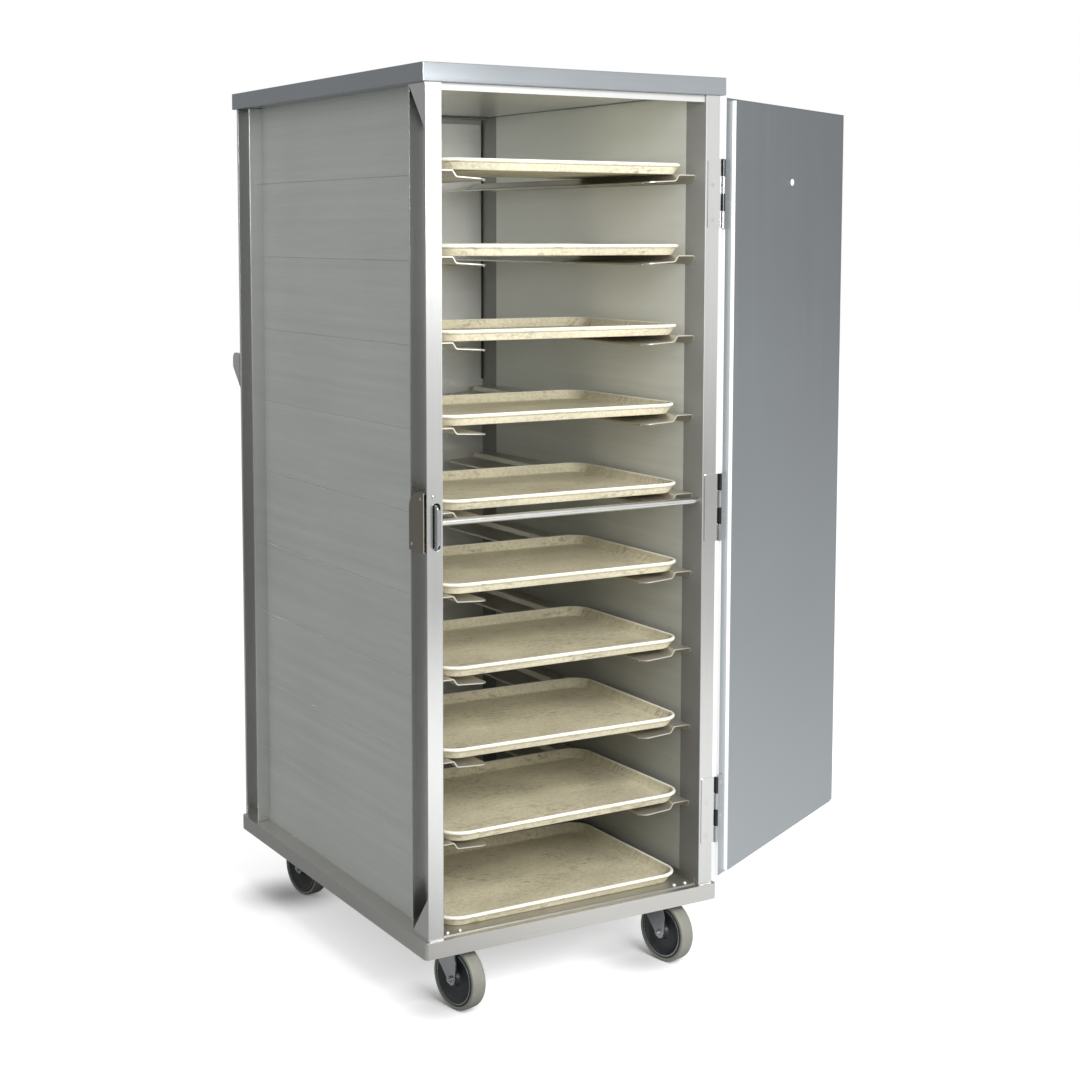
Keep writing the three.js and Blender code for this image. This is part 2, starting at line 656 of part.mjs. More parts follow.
for (let level = 0; level < ledgeCount; level += 1) {
  add(`ledge_left_${level + 1}`, sideLedge(-1, level), finishes.ledge);
  add(`ledge_right_${level + 1}`, sideLedge(1, level), finishes.ledge);
}

// Trays 1 to 9 lie on the upper seats of their ledges, and the last lies on the floor pan.
for (let level = 0; level < trayFit.levels; level += 1) {
  const seatZ = level < ledgeCount ? ledgeZ(level) : deckZ + floorPan.sheet;
  const mesh = add(`tray_${level + 1}`, trayShell(), finishes.tray);
  mesh.position.set(0, -postEndY + trayFront[level] + tray.depth / 2, seatZ + trayFit.lift);
  mesh.rotation.z = THREE.MathUtils.degToRad(traySkew[level]);
}

const doorGroup = new THREE.Group();
doorGroup.position.set(pinX, pinY, 0);
doorGroup.rotation.z = THREE.MathUtils.degToRad(door.openAngle);
cart.add(doorGroup);
add('door_panel', doorPanel(), finishes.door, doorGroup);

['top', 'middle', 'bottom'].forEach((place, i) => {
  const z = soffitZ - hinge.belowSoffit[i];
  add(`hinge_${place}_door_leaf`, doorLeaf(z), finishes.zinc, doorGroup);
  add(`hinge_${place}_frame_leaf`, frameLeaf(z), finishes.zinc).position.set(pinX, pinY, 0);
});

add('latch_case', latchCase(), finishes.latch);
add('latch_bolt', latchBolt(), finishes.zinc);

for (const [end, endName] of [[-1, 'front'], [1, 'rear']]) {
  for (const [side, sideName] of [[-1, 'left'], [1, 'right']]) {
    const name = `caster_${endName}_${sideName}`;
    const place = new THREE.Group();
    place.position.set(side * (baseX - caster.fromSide), end * (baseY - caster.fromEnd), 0);
    cart.add(place);
    add(`${name}_plate`, casterPlate(), finishes.zinc, place);
    const swivel = new THREE.Group();
    swivel.rotation.z = THREE.MathUtils.degToRad(caster.swivelAngle);
    place.add(swivel);
    add(`${name}_fork`, casterFork(), finishes.zinc, swivel);
    add(`${name}_wheel`, casterWheel(), finishes.wheel, swivel);
  }
}

// The cart stands on the floor with the middle of its outline, open door and all, at the origin.
cart.updateMatrixWorld(true);
const outline = new THREE.Box3().setFromObject(cart, true);
const middle = outline.getCenter(new THREE.Vector3());
cart.position.set(-middle.x, -middle.y, -outline.min.z);
cart.updateMatrixWorld(true);

export default cart;
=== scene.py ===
"""The enclosed meal tray cart, dressed for its picture.

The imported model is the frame. It says where every piece is, and this script gives each one its
finish, and a finer surface where the plain solid is too coarse: bent ledges, moulded trays with
a bead round the rim, hinge knuckles, caster wheels, rivets, screws, welds and sealant.

Lengths are in metres, angles in degrees and colours in the 0 to 255 of a picture, unless a name
says otherwise. +Z is up, and the door opening faces -Y.
"""

from __future__ import annotations

import json
import logging
import math
from collections.abc import Callable, Iterable, Sequence
from dataclasses import dataclass
from enum import Enum
from typing import Any

import bmesh
import bpy
import numpy as np
from mathutils import Matrix, Vector

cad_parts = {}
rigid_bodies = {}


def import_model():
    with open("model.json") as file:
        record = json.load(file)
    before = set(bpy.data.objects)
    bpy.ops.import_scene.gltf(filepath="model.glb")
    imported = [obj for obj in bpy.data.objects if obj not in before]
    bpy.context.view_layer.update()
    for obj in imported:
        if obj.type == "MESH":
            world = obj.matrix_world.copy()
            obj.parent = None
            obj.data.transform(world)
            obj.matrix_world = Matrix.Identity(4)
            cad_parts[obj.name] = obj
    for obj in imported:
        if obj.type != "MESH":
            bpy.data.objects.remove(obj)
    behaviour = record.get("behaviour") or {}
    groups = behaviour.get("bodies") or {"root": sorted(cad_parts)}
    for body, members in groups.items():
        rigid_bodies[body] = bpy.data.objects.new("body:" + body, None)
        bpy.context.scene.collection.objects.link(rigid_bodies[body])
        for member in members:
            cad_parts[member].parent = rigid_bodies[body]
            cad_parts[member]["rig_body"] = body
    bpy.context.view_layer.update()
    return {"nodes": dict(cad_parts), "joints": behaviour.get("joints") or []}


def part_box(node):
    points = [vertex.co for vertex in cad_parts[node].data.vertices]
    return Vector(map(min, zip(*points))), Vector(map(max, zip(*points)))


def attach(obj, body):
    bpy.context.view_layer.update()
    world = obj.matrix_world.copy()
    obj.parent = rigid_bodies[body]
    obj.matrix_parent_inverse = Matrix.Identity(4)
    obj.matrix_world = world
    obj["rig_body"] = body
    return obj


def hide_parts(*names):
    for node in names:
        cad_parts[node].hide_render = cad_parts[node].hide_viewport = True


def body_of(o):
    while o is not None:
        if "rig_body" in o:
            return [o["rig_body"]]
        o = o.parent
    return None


log = logging.getLogger("meal_tray_cart")

Colour = tuple[float, float, float]
Point = tuple[float, float, float]


# --------------------------------------------------------------------------------------------
# Surfaces worked out with numpy
# --------------------------------------------------------------------------------------------


@dataclass
class Skin:
    """One or more surfaces: vertices, and faces as arrays of vertex numbers.

    edge holds a number from 0 to 1 for each vertex, which a finish may read as an attribute.
    """

    points: np.ndarray
    faces: list[np.ndarray]
    edge: np.ndarray | None = None

    def moved(self, place: Matrix) -> Skin:
        """Returns the skin after a matrix: each point is turned, then shifted."""
        matrix = np.array(place)
        return Skin(self.points @ matrix[:3, :3].T + matrix[:3, 3], self.faces, self.edge)

    def at(self, x: float, y: float, z: float) -> Skin:
        """Returns the skin shifted by x, y and z."""
        return Skin(self.points + (x, y, z), self.faces, self.edge)


def gathered(skins: Iterable[Skin]) -> Skin:
    """Joins skins into one, each face keeping to its own points.

    Args:
        skins: the skins to join, in order.

    Returns:
        One skin that holds them all.
    """
    parts = list(skins)
    starts = np.cumsum([0] + [len(part.points) for part in parts[:-1]])
    faces = [face + start for part, start in zip(parts, starts) for face in part.faces]
    edges = None
    if all(part.edge is not None for part in parts):
        edges = np.concatenate([part.edge for part in parts])
    return Skin(np.concatenate([part.points for part in parts]), faces, edges)


def woven(points: np.ndarray, loop_rows: bool = False, loop_columns: bool = False) -> Skin:
    """Quads over a grid: each joins a point to the next one along its row and its column.

    Args:
        points: an array of rows by columns by 3.
        loop_rows: whether the last row joins the first.
        loop_columns: whether the last column joins the first.

    Returns:
        The skin of the grid.
    """
    rows, columns = points.shape[:2]
    index = np.arange(rows * columns).reshape(rows, columns)
    if loop_rows:
        index = np.vstack([index, index[:1]])
    if loop_columns:
        index = np.hstack([index, index[:, :1]])
    quads = np.stack([index[:-1, :-1], index[1:, :-1], index[1:, 1:], index[:-1, 1:]], axis=-1)
    return Skin(points.reshape(-1, 3), [quads.reshape(-1, 4)])


def capped(rings: np.ndarray) -> Skin:
    """A tube through closed rings, each point joined to its neighbours, with flat ends.

    Args:
        rings: an array of rings by points by 3.

    Returns:
        The closed skin.
    """
    sides = woven(rings, loop_columns=True)
    first = np.arange(rings.shape[1])[None]
    last = first + len(sides.points) - rings.shape[1]
    return Skin(sides.points, [*sides.faces, first[:, ::-1], last])


def filleted(corners: Sequence[tuple[float, float]], radii: Sequence[float], steps: int = 6,
             closed: bool = True) -> np.ndarray:
    """A polyline whose corners are arcs, each tangent to the two sides that meet there.

    The arc's centre is on the corner's bisector, radius / sin(half the angle) from the corner.

    Args:
        corners: the corner points in order.
        radii: each corner's radius, 0 for a sharp one.
        steps: how many chords make an arc.
        closed: whether the last corner joins the first.

    Returns:
        The points of the line, an array of n by 2.
    """
    points = np.asarray(corners, dtype=float)
    line: list[np.ndarray] = []
    for i, (corner, radius) in enumerate(zip(points, radii)):
        is_end = not closed and i in (0, len(points) - 1)
        if radius <= 0 or is_end:
            line.append(corner[None])
            continue
        before = points[i - 1] - corner
        after = points[(i + 1) % len(points)] - corner
        before /= np.linalg.norm(before)
        after /= np.linalg.norm(after)
        half = math.acos(np.clip(before @ after, -1, 1)) / 2
        bisector = (before + after) / np.linalg.norm(before + after)
        centre = corner + bisector * radius / math.sin(half)
        start = corner + before * radius / math.tan(half) - centre
        finish = corner + after * radius / math.tan(half) - centre
        sweep = math.atan2(start[0] * finish[1] - start[1] * finish[0], start @ finish)
        turn = np.linspace(0, sweep, steps + 1)
        line.append(centre + np.column_stack([
            start[0] * np.cos(turn) - start[1] * np.sin(turn),
            start[0] * np.sin(turn) + start[1] * np.cos(turn),
        ]))
    return np.concatenate(line)


def offset_line(line: np.ndarray, distance: float) -> np.ndarray:
    """An open line moved sideways: each point goes along the mean of its two sides' normals.

    Args:
        line: the points, n by 2.
        distance: how far, to the left of the line's run.

    Returns:
        The moved points, n by 2.
    """
    run = np.diff(line, axis=0)
    normal = np.column_stack([-run[:, 1], run[:, 0]])
    normal /= np.linalg.norm(normal, axis=1, keepdims=True)
    mean = np.vstack([normal[:1], normal[:-1] + normal[1:], normal[-1:]])
    mean /= np.linalg.norm(mean, axis=1, keepdims=True)
    sides = np.vstack([normal[:1], normal])
    return line + mean * distance / np.sum(mean * sides, axis=1, keepdims=True)


def prism(outline: np.ndarray, low: float, high: float, axis: str = "z") -> Skin:
    """An outline carried straight along an axis, with a flat face at each end.

    The outline's own two axes are (x, y) for z, (x, z) for y and (y, z) for x.

    Args:
        outline: the points of the outline, n by 2.
        low: where it starts on the axis.
        high: where it ends.
        axis: x, y or z.

    Returns:
        The closed skin.
    """
    place = {"x": (1, 2, 0), "y": (0, 2, 1), "z": (0, 1, 2)}[axis]
    rings = np.empty((2, len(outline), 3))
    rings[:, :, place[0]] = outline[:, 0]
    rings[:, :, place[1]] = outline[:, 1]
    rings[0, :, place[2]] = low
    rings[1, :, place[2]] = high
    return capped(rings)


def revolved(profile: np.ndarray, steps: int = 32, closed: bool = False) -> Skin:
    """A profile turned once about +Z: each point is (r cos t, r sin t, h).

    Args:
        profile: radius and height of each point, n by 2.
        steps: how many steps make the turn.
        closed: whether the profile's last point joins its first.

    Returns:
        The skin. An end of the profile on the axis makes a pole.
    """
    turn = np.linspace(0, 2 * math.pi, steps, endpoint=False)[:, None]
    radius = profile[None, :, 0]
    height = np.broadcast_to(profile[None, :, 1], (steps, len(profile)))
    points = np.stack([radius * np.cos(turn), radius * np.sin(turn), height], axis=-1)
    return woven(points, loop_rows=True, loop_columns=closed)


def both_sides(side: Sequence[tuple[float, float]]) -> np.ndarray:
    """A wheel's section from one side of it: its points, then the same at minus their height."""
    return np.array([*side, *((radius, -height) for radius, height in side[::-1] if height)])


def facing(axis: Sequence[float], origin: Sequence[float]) -> Matrix:
    """A matrix that turns +Z to an axis and moves the middle to a point."""
    turn = Vector(axis).to_track_quat("Z", "Y").to_matrix().to_4x4()
    return Matrix.Translation(Vector(origin)) @ turn


def rod(radius: float, length: float, chamfer: float, steps: int = 32) -> Skin:
    """A round bar from 0 to length along +Z, its ends chamfered.

    Args:
        radius: the bar's radius.
        length: its length.
        chamfer: how much each end is cut back.
        steps: how many steps make the turn.

    Returns:
        The closed skin.
    """
    profile = np.array([
        (0, 0), (radius - chamfer, 0), (radius, chamfer), (radius, length - chamfer),
        (radius - chamfer, length), (0, length),
    ])
    return revolved(profile, steps)


def domed_head(radius: float, height: float, recess: float = 0.0) -> Skin:
    """A rivet or screw head on the plane z = 0, its dome an arc of a circle.

    Args:
        radius: the head's radius.
        height: how far the dome rises.
        recess: the radius of the driver's recess in its top, or 0.

    Returns:
        The skin, standing on z = 0 with a short skirt below it.
    """
    sphere = (radius**2 + height**2) / (2 * height)
    spread = np.linspace(0, math.asin(min(1.0, radius / sphere)), 7)[::-1]
    arc = np.column_stack([sphere * np.sin(spread), sphere * np.cos(spread) - sphere + height])
    skirt = -height * 0.2
    rows = [[(0, skirt), (radius, skirt)], arc]
    if recess:
        above = arc[arc[:, 0] > recess]
        dip = [(recess, above[-1, 1]), (recess * 0.7, height * 0.35), (0, height * 0.3)]
        rows = [rows[0], above, dip]
    return revolved(np.vstack(rows), 16)


def bolt_head(across: float, height: float) -> Skin:
    """A hexagon head on the plane z = 0 with a chamfered top.

    Args:
        across: the width across its flats.
        height: how far it stands up.

    Returns:
        The skin.
    """
    turn = np.radians(np.arange(0, 360, 60))
    ring = np.column_stack([np.cos(turn), np.sin(turn)]) * across / math.sqrt(3)
    levels = [(1.0, 0.0), (1.0, height * 0.82), (0.86, height), (0.0, height)]
    rings = np.stack([np.column_stack([ring * share, np.full(6, z)]) for share, z in levels])
    return woven(rings, loop_columns=True)


def screw_head(radius: float, height: float) -> Skin:
    """A domed head with a recess for the driver."""
    return domed_head(radius, height, radius * 0.42)


def set_in(head: Skin, axis: Point, spots: Iterable[Sequence[float]]) -> Skin:
    """Copies of a head at some spots, each facing the same way."""
    return gathered(head.moved(facing(axis, spot)) for spot in spots)


# --------------------------------------------------------------------------------------------
# Shader maths
# --------------------------------------------------------------------------------------------


class Wire:
    """A node's socket in an expression, where each operator adds one Math node."""

    def __init__(self, graph: Graph, socket: bpy.types.NodeSocket) -> None:
        """Keeps the socket and the graph of nodes that it belongs to."""
        self.graph = graph
        self.socket = socket

    def _math(self, operation: str, *values: Any) -> Wire:
        """Adds a Math node over the values."""
        return self.graph.node("ShaderNodeMath", {"operation": operation}, list(values))

    def __add__(self, other: Any) -> Wire:
        """Sum."""
        return self._math("ADD", self, other)

    __radd__ = __add__

    def __mul__(self, other: Any) -> Wire:
        """Product."""
        return self._math("MULTIPLY", self, other)

    __rmul__ = __mul__

    def __sub__(self, other: Any) -> Wire:
        """Difference."""
        return self._math("SUBTRACT", self, other)

    def __rsub__(self, other: Any) -> Wire:
        """Difference the other way round."""
        return self._math("SUBTRACT", other, self)

    def __abs__(self) -> Wire:
        """Size without its sign."""
        return self._math("ABSOLUTE", self)

    def ramp(self, low: float, high: float, start: float = 0.0, end: float = 1.0) -> Wire:
        """Returns start at low and end at high, smoothly between and level outside.

        Args:
            low: where the ramp starts.
            high: where it ends.
            start: the value up to low.
            end: the value from high.

        Returns:
            The ramped value.
        """
        return self.graph.node(
            "ShaderNodeMapRange", {"interpolation_type": "SMOOTHSTEP"},
            {"Value": self, "From Min": low, "From Max": high, "To Min": start, "To Max": end})


class Graph:
    """The nodes of one material or world."""

    def __init__(self, owner: bpy.types.Material | bpy.types.World) -> None:
        """Empties the owner's node tree and keeps it.

        Args:
            owner: the material or world that holds the nodes.
        """
        owner.use_nodes = True
        self.tree = owner.node_tree
        self.tree.nodes.clear()

    def node(self, kind: str, settings: dict[str, Any],
             sockets: dict[str, Any] | Sequence[Any] = (), output: int | str = 0) -> Wire:
        """Adds one node.

        Args:
            kind: the node's type.
            settings: its settings, set first.
            sockets: the value or wire of each input, by name or in order.
            output: which of its outputs to return.

        Returns:
            The output as a wire.
        """
        made = self.tree.nodes.new(kind)
        for name, value in settings.items():
            setattr(made, name, value)
        items = sockets.items() if isinstance(sockets, dict) else enumerate(sockets)
        for name, value in items:
            if isinstance(value, Wire):
                self.tree.links.new(value.socket, made.inputs[name])
            else:
                made.inputs[name].default_value = value
        return Wire(self, made.outputs[output])

    def dot(self, vector: Wire, axis: Sequence[float]) -> Wire:
        """Returns the dot product of a vector and a fixed one."""
        return self.node("ShaderNodeVectorMath", {"operation": "DOT_PRODUCT"},
                         [vector, tuple(axis)], output="Value")

    def end(self, kind: str, shader: Wire) -> None:
        """Links a shader to the output node of this kind."""
        output = self.tree.nodes.new(kind)
        self.tree.links.new(shader.socket, output.inputs["Surface"])


class Sheet(Graph):
    """The nodes of one material."""

    def __init__(self, name: str) -> None:
        """Makes an empty material with this name."""
        self.material = bpy.data.materials.new(name)
        super().__init__(self.material)

    def place(self, scale: Point, shift: Point = (0.0, 0.0, 0.0)) -> Wire:
        """Returns the object's coordinates, shifted and then stretched along its axes."""
        coordinates = self.node("ShaderNodeTexCoord", {}, output="Object")
        return self.node("ShaderNodeMapping", {"vector_type": "POINT"},
                         {"Vector": coordinates, "Scale": scale, "Location": shift})

    def coordinate(self, axis: str) -> Wire:
        """Returns the object's coordinate on one axis: X, Y or Z."""
        coordinates = self.node("ShaderNodeTexCoord", {}, output="Object")
        return self.node("ShaderNodeSeparateXYZ", {}, [coordinates], output=axis)

    def attribute(self, name: str) -> Wire:
        """Returns a number that the mesh holds for each of its points or faces."""
        return self.node("ShaderNodeAttribute", {"attribute_name": name}, output="Fac")

    def noise(self, vector: Wire, scale: float = 1.0, detail: float = 2.0,
              roughness: float = 0.5) -> Wire:
        """Returns smooth noise from 0 to 1 over a vector."""
        return self.node(
            "ShaderNodeTexNoise", {"noise_dimensions": "3D"},
            {"Vector": vector, "Scale": scale, "Detail": detail, "Roughness": roughness})

    def blend(self, amount: Any, first: Any, second: Any, mode: str = "MIX") -> Wire:
        """Returns a colour between two, by an amount from 0 to 1."""
        return self.node("ShaderNodeMix", {"data_type": "RGBA", "blend_type": mode},
                         {"Factor": amount, 6: first, 7: second}, output=2)

    def scaled(self, colour: Any, factor: Any) -> Wire:
        """Returns a colour made lighter or darker by a factor."""
        grey = self.node("ShaderNodeCombineColor", {}, [factor, factor, factor])
        return self.blend(1.0, colour, grey, mode="MULTIPLY")

    def surface(self, sockets: dict[str, Any], bump: Wire | None = None,
                bump_depth: float = 0.0) -> bpy.types.Material:
        """Ends the sheet with the one shader that every finish here uses.

        Args:
            sockets: values or wires for the shader.
            bump: the height that bends its normals, or None.
            bump_depth: how deep that height is.

        Returns:
            The finished material.
        """
        inputs = dict(sockets)
        if bump is not None:
            inputs["Normal"] = self.node(
                "ShaderNodeBump", {}, {"Height": bump, "Distance": bump_depth, "Strength": 1.0})
        shader = self.node("ShaderNodeBsdfPrincipled", {}, inputs)
        self.end("ShaderNodeOutputMaterial", shader)
        return self.material


def linear(colour: Colour) -> tuple[float, float, float, float]:
    """Turns a picture's colour into the linear light that shaders use, by the sRGB curve.

    Args:
        colour: red, green and blue from 0 to 255.

    Returns:
        Red, green, blue and an opacity of 1, each from 0 to 1.
    """
    share = np.asarray(colour, dtype=float) / 255
    light = np.where(share <= 0.04045, share / 12.92, ((share + 0.055) / 1.055) ** 2.4)
    return (float(light[0]), float(light[1]), float(light[2]), 1.0)


# --------------------------------------------------------------------------------------------
# Finishes
# --------------------------------------------------------------------------------------------


class Grain(Enum):
    """The way that a sheet's rolling or brushing runs: streaks are long on that axis."""

    ALONG_X = (1.0, 0.0, 0.0)
    ALONG_Y = (0.0, 1.0, 0.0)
    ALONG_Z = (0.0, 0.0, 1.0)

    def stretch(self, along: float, across: float) -> Point:
        """Returns a scale for coordinates: along on the grain's axis, across on the others."""
        x, y, z = (along if share else across for share in self.value)
        return (x, y, z)


@dataclass(frozen=True)
class PaintedLightRise:
    """A painted change of lightness with height, standing in for light and shade: low at the
    bottom, high at the top.
    """

    bottom: float
    top: float
    low: float
    high: float

    def over(self, sheet: Sheet) -> Wire:
        """Returns the painted lightness as a wire of the sheet."""
        return sheet.coordinate("Z").ramp(self.bottom, self.top, self.low, self.high)


@dataclass(frozen=True)
class InsideLookAndShade:
    """The look of the faces inside the cabinet, which lie within half_width of its centre line:
    their own roughness and metallic, and a painted shade that changes with height.
    """

    rise: PaintedLightRise
    roughness: float
    half_width: float = 0.2988
    seam: float = 0.0002
    metallic: float = 0.25

    def within(self, sheet: Sheet) -> Wire:
        """Returns 1 on the faces inside the cabinet and 0 outside."""
        off_centre = abs(sheet.coordinate("X") - Plan.read().centre.x)
        return off_centre.ramp(self.half_width - self.seam, self.half_width + self.seam, 1.0, 0.0)


@dataclass(frozen=True)
class MarkedFaces:
    """The look of the faces marked edge, which are cut edges painted white as a painted highlight,
    and outside, the door's back.
    """

    cut_tone: Colour = (250, 250, 250)
    outside_metallic: float = 0.05
    outside_roughness: float = 0.6


def even(scale: float) -> Point:
    """The same scale on all three axes."""
    return (scale, scale, scale)


@dataclass(frozen=True)
class MillSheet:
    """Rolled aluminium or steel sheet: long streaks, hairlines in them and faint clouds."""

    name: str
    tone: Colour
    grain: Grain = Grain.ALONG_Y
    streaks: float = 0.05
    hairlines: float = 0.05
    clouds: float = 0.06
    roughness: float = 0.38
    metallic: float = 0.85
    rise: PaintedLightRise | None = None
    lining: InsideLookAndShade | None = None
    marked: MarkedFaces | None = None
    streak_scale: tuple[float, float] = (1.1, 48.0)
    hair_scale: tuple[float, float] = (9.0, 520.0)
    cloud_scale: float = 2.6
    hair_depth: float = 0.00004

    def make(self) -> bpy.types.Material:
        """Builds the material.

        Lightness is 1 plus streaks, hairlines and clouds, each noise centred on zero. The same
        streaks and clouds roughen the sheet, and the hairlines bend its normals. A rise then paints
        light and shade as a lightness that changes with height. The inside faces blend in their own
        roughness and metallic and a painted shade that changes with height. The faces marked edge
        take a painted white highlight, and those marked outside their own roughness and metallic.

        Returns:
            The material.
        """
        sheet = Sheet(self.name)
        streak = sheet.noise(sheet.place(self.grain.stretch(*self.streak_scale)), detail=4.0) - 0.5
        hair = sheet.noise(sheet.place(self.grain.stretch(*self.hair_scale)), detail=3.0) - 0.5
        cloud = sheet.noise(sheet.place(even(self.cloud_scale)), detail=3.0) - 0.5
        light = (1.0 + streak * (2 * self.streaks) + hair * (2 * self.hairlines)
                 + cloud * (2 * self.clouds))
        rough = self.roughness + cloud * 0.12 + streak * 0.08
        metal: Wire | float = self.metallic
        # The rise is painted light and shade: lightness that changes with height.
        if self.rise:
            light = light * self.rise.over(sheet)
        # Inside faces take their own roughness and metallic, and a painted shade that changes with
        # height.
        if self.lining:
            inner = self.lining.within(sheet)
            light = light * (inner * (self.lining.rise.over(sheet) - 1.0) + 1.0)
            rough = rough + inner * (self.lining.roughness - self.roughness)
            metal = inner * (self.lining.metallic - self.metallic) + self.metallic
        colour = sheet.scaled(linear(self.tone), light)
        if self.marked:
            # Faces marked edge are painted white and lose their metal: a painted highlight.
            cut, outside = sheet.attribute("edge"), sheet.attribute("outside")
            colour = sheet.blend(cut, colour, linear(self.marked.cut_tone))
            rough = rough + outside * (self.marked.outside_roughness - self.roughness)
            metal = outside * (self.marked.outside_metallic - self.metallic) + self.metallic
            metal = (1.0 - cut) * metal
        return sheet.surface({"Base Color": colour, "Roughness": rough, "Metallic": metal},
                             bump=hair, bump_depth=self.hair_depth)


@dataclass(frozen=True)
class Plating:
    """Bright zinc or drawn steel: clear metal with a fine mottle and a few dull patches."""

    name: str
    tone: Colour
    roughness: float = 0.24
    mottle: float = 0.08
    patch_scale: float = 30.0
    speck_scale: float = 420.0
    speck_depth: float = 0.00003

    def make(self) -> bpy.types.Material:
        """Builds the material: two sizes of noise vary its lightness and roughness.

        Returns:
            The material.
        """
        sheet = Sheet(self.name)
        patch = sheet.noise(sheet.place(even(self.patch_scale)), detail=3.0) - 0.5
        speck = sheet.noise(sheet.place(even(self.speck_scale)), detail=2.0) - 0.5
        light = 1.0 + patch * (2 * self.mottle) + speck * self.mottle
        return sheet.surface(
            {"Base Color": sheet.scaled(linear(self.tone), light),
             "Roughness": self.roughness + patch * 0.2, "Metallic": 1.0},
            bump=speck, bump_depth=self.speck_depth)


@dataclass(frozen=True)
class MouldedTray:
    """Fibreglass tray: mottled olive beige, scratched on its floor and white on its rim, partly
    rubbed and partly a painted highlight.

    It reads the edge attribute: 1 on the rim's crown, 0 on the floor.
    """

    name: str
    tone: Colour = (218, 211, 184)
    fleck: Colour = (160, 152, 124)
    mark: Colour = (112, 102, 78)
    worn: Colour = (244, 241, 231)
    fleck_scale: float = 150.0
    chip_scale: float = 60.0
    stain_scale: Point = (7.0, 11.0, 7.0)
    scuff_scale: Point = (24.0, 60.0, 24.0)
    patch_scale: Point = (9.0, 14.0, 9.0)
    patch_shift: Point = (3.1, 1.7, 0.4)
    scratch_scale: Point = (46.0, 150.0, 46.0)
    fleck_depth: float = 0.00006

    def make(self) -> bpy.types.Material:
        """Builds the material: flecks and stains, scratches in patches, scuffs, and the rim's
        rubbed white with its painted highlight.

        Returns:
            The material.
        """
        sheet = Sheet(self.name)
        fleck = sheet.noise(sheet.place(even(self.fleck_scale)), detail=5.0, roughness=0.65)
        stain = sheet.noise(sheet.place(self.stain_scale), detail=4.0)
        scuff = sheet.noise(sheet.place(self.scuff_scale), detail=6.0, roughness=0.7)
        body = sheet.blend(fleck.ramp(0.42, 0.66, 0.0, 0.35), linear(self.tone), linear(self.fleck))
        body = sheet.scaled(body, 0.7 + stain * 0.58)
        patch = sheet.noise(sheet.place(self.patch_scale, self.patch_shift), detail=2.0)
        scratch = sheet.noise(sheet.place(self.scratch_scale), detail=8.0, roughness=0.75)
        marks = scratch.ramp(0.5, 0.62) * patch.ramp(0.4, 0.62, 0.0, 0.55)
        body = sheet.blend(marks, body, linear(self.mark))
        body = sheet.blend(scuff.ramp(0.58, 0.74, 0.0, 0.3), body, linear(self.worn))
        chip = sheet.noise(sheet.place(even(self.chip_scale)), detail=4.0) - 0.5
        # The rim's white is partly rubbed and partly a painted highlight, strongest on the bead's
        # top.
        wear_and_highlight = (sheet.attribute("edge") + chip * 0.35).ramp(0.45, 0.8)
        colour = sheet.blend(wear_and_highlight * 0.9, body, linear(self.worn))
        return sheet.surface(
            {"Base Color": colour, "Roughness": 0.3 + stain * 0.2 - wear_and_highlight * 0.05, "Metallic": 0.0},
            bump=fleck, bump_depth=self.fleck_depth)


@dataclass(frozen=True)
class Moulded:
    """Moulded rubber or plastic: an even colour with faint scuffs and a fine pebble."""

    name: str
    tone: Colour
    roughness: float = 0.5
    scuff: float = 0.1
    scuff_scale: float = 38.0
    pebble_scale: float = 700.0
    pebble_depth: float = 0.00005

    def make(self) -> bpy.types.Material:
        """Builds the material: scuffs lighten and roughen it, and a fine pebble bends its normals.

        Returns:
            The material.
        """
        sheet = Sheet(self.name)
        scuff = sheet.noise(sheet.place(even(self.scuff_scale)), detail=5.0, roughness=0.7)
        pebble = sheet.noise(sheet.place(even(self.pebble_scale)), detail=1.0)
        light = 1.0 + scuff.ramp(0.5, 0.75, -self.scuff, self.scuff * 2)
        return sheet.surface(
            {"Base Color": sheet.scaled(linear(self.tone), light),
             "Roughness": self.roughness + (scuff - 0.5) * 0.2, "Metallic": 0.0},
            bump=pebble, bump_depth=self.pebble_depth)


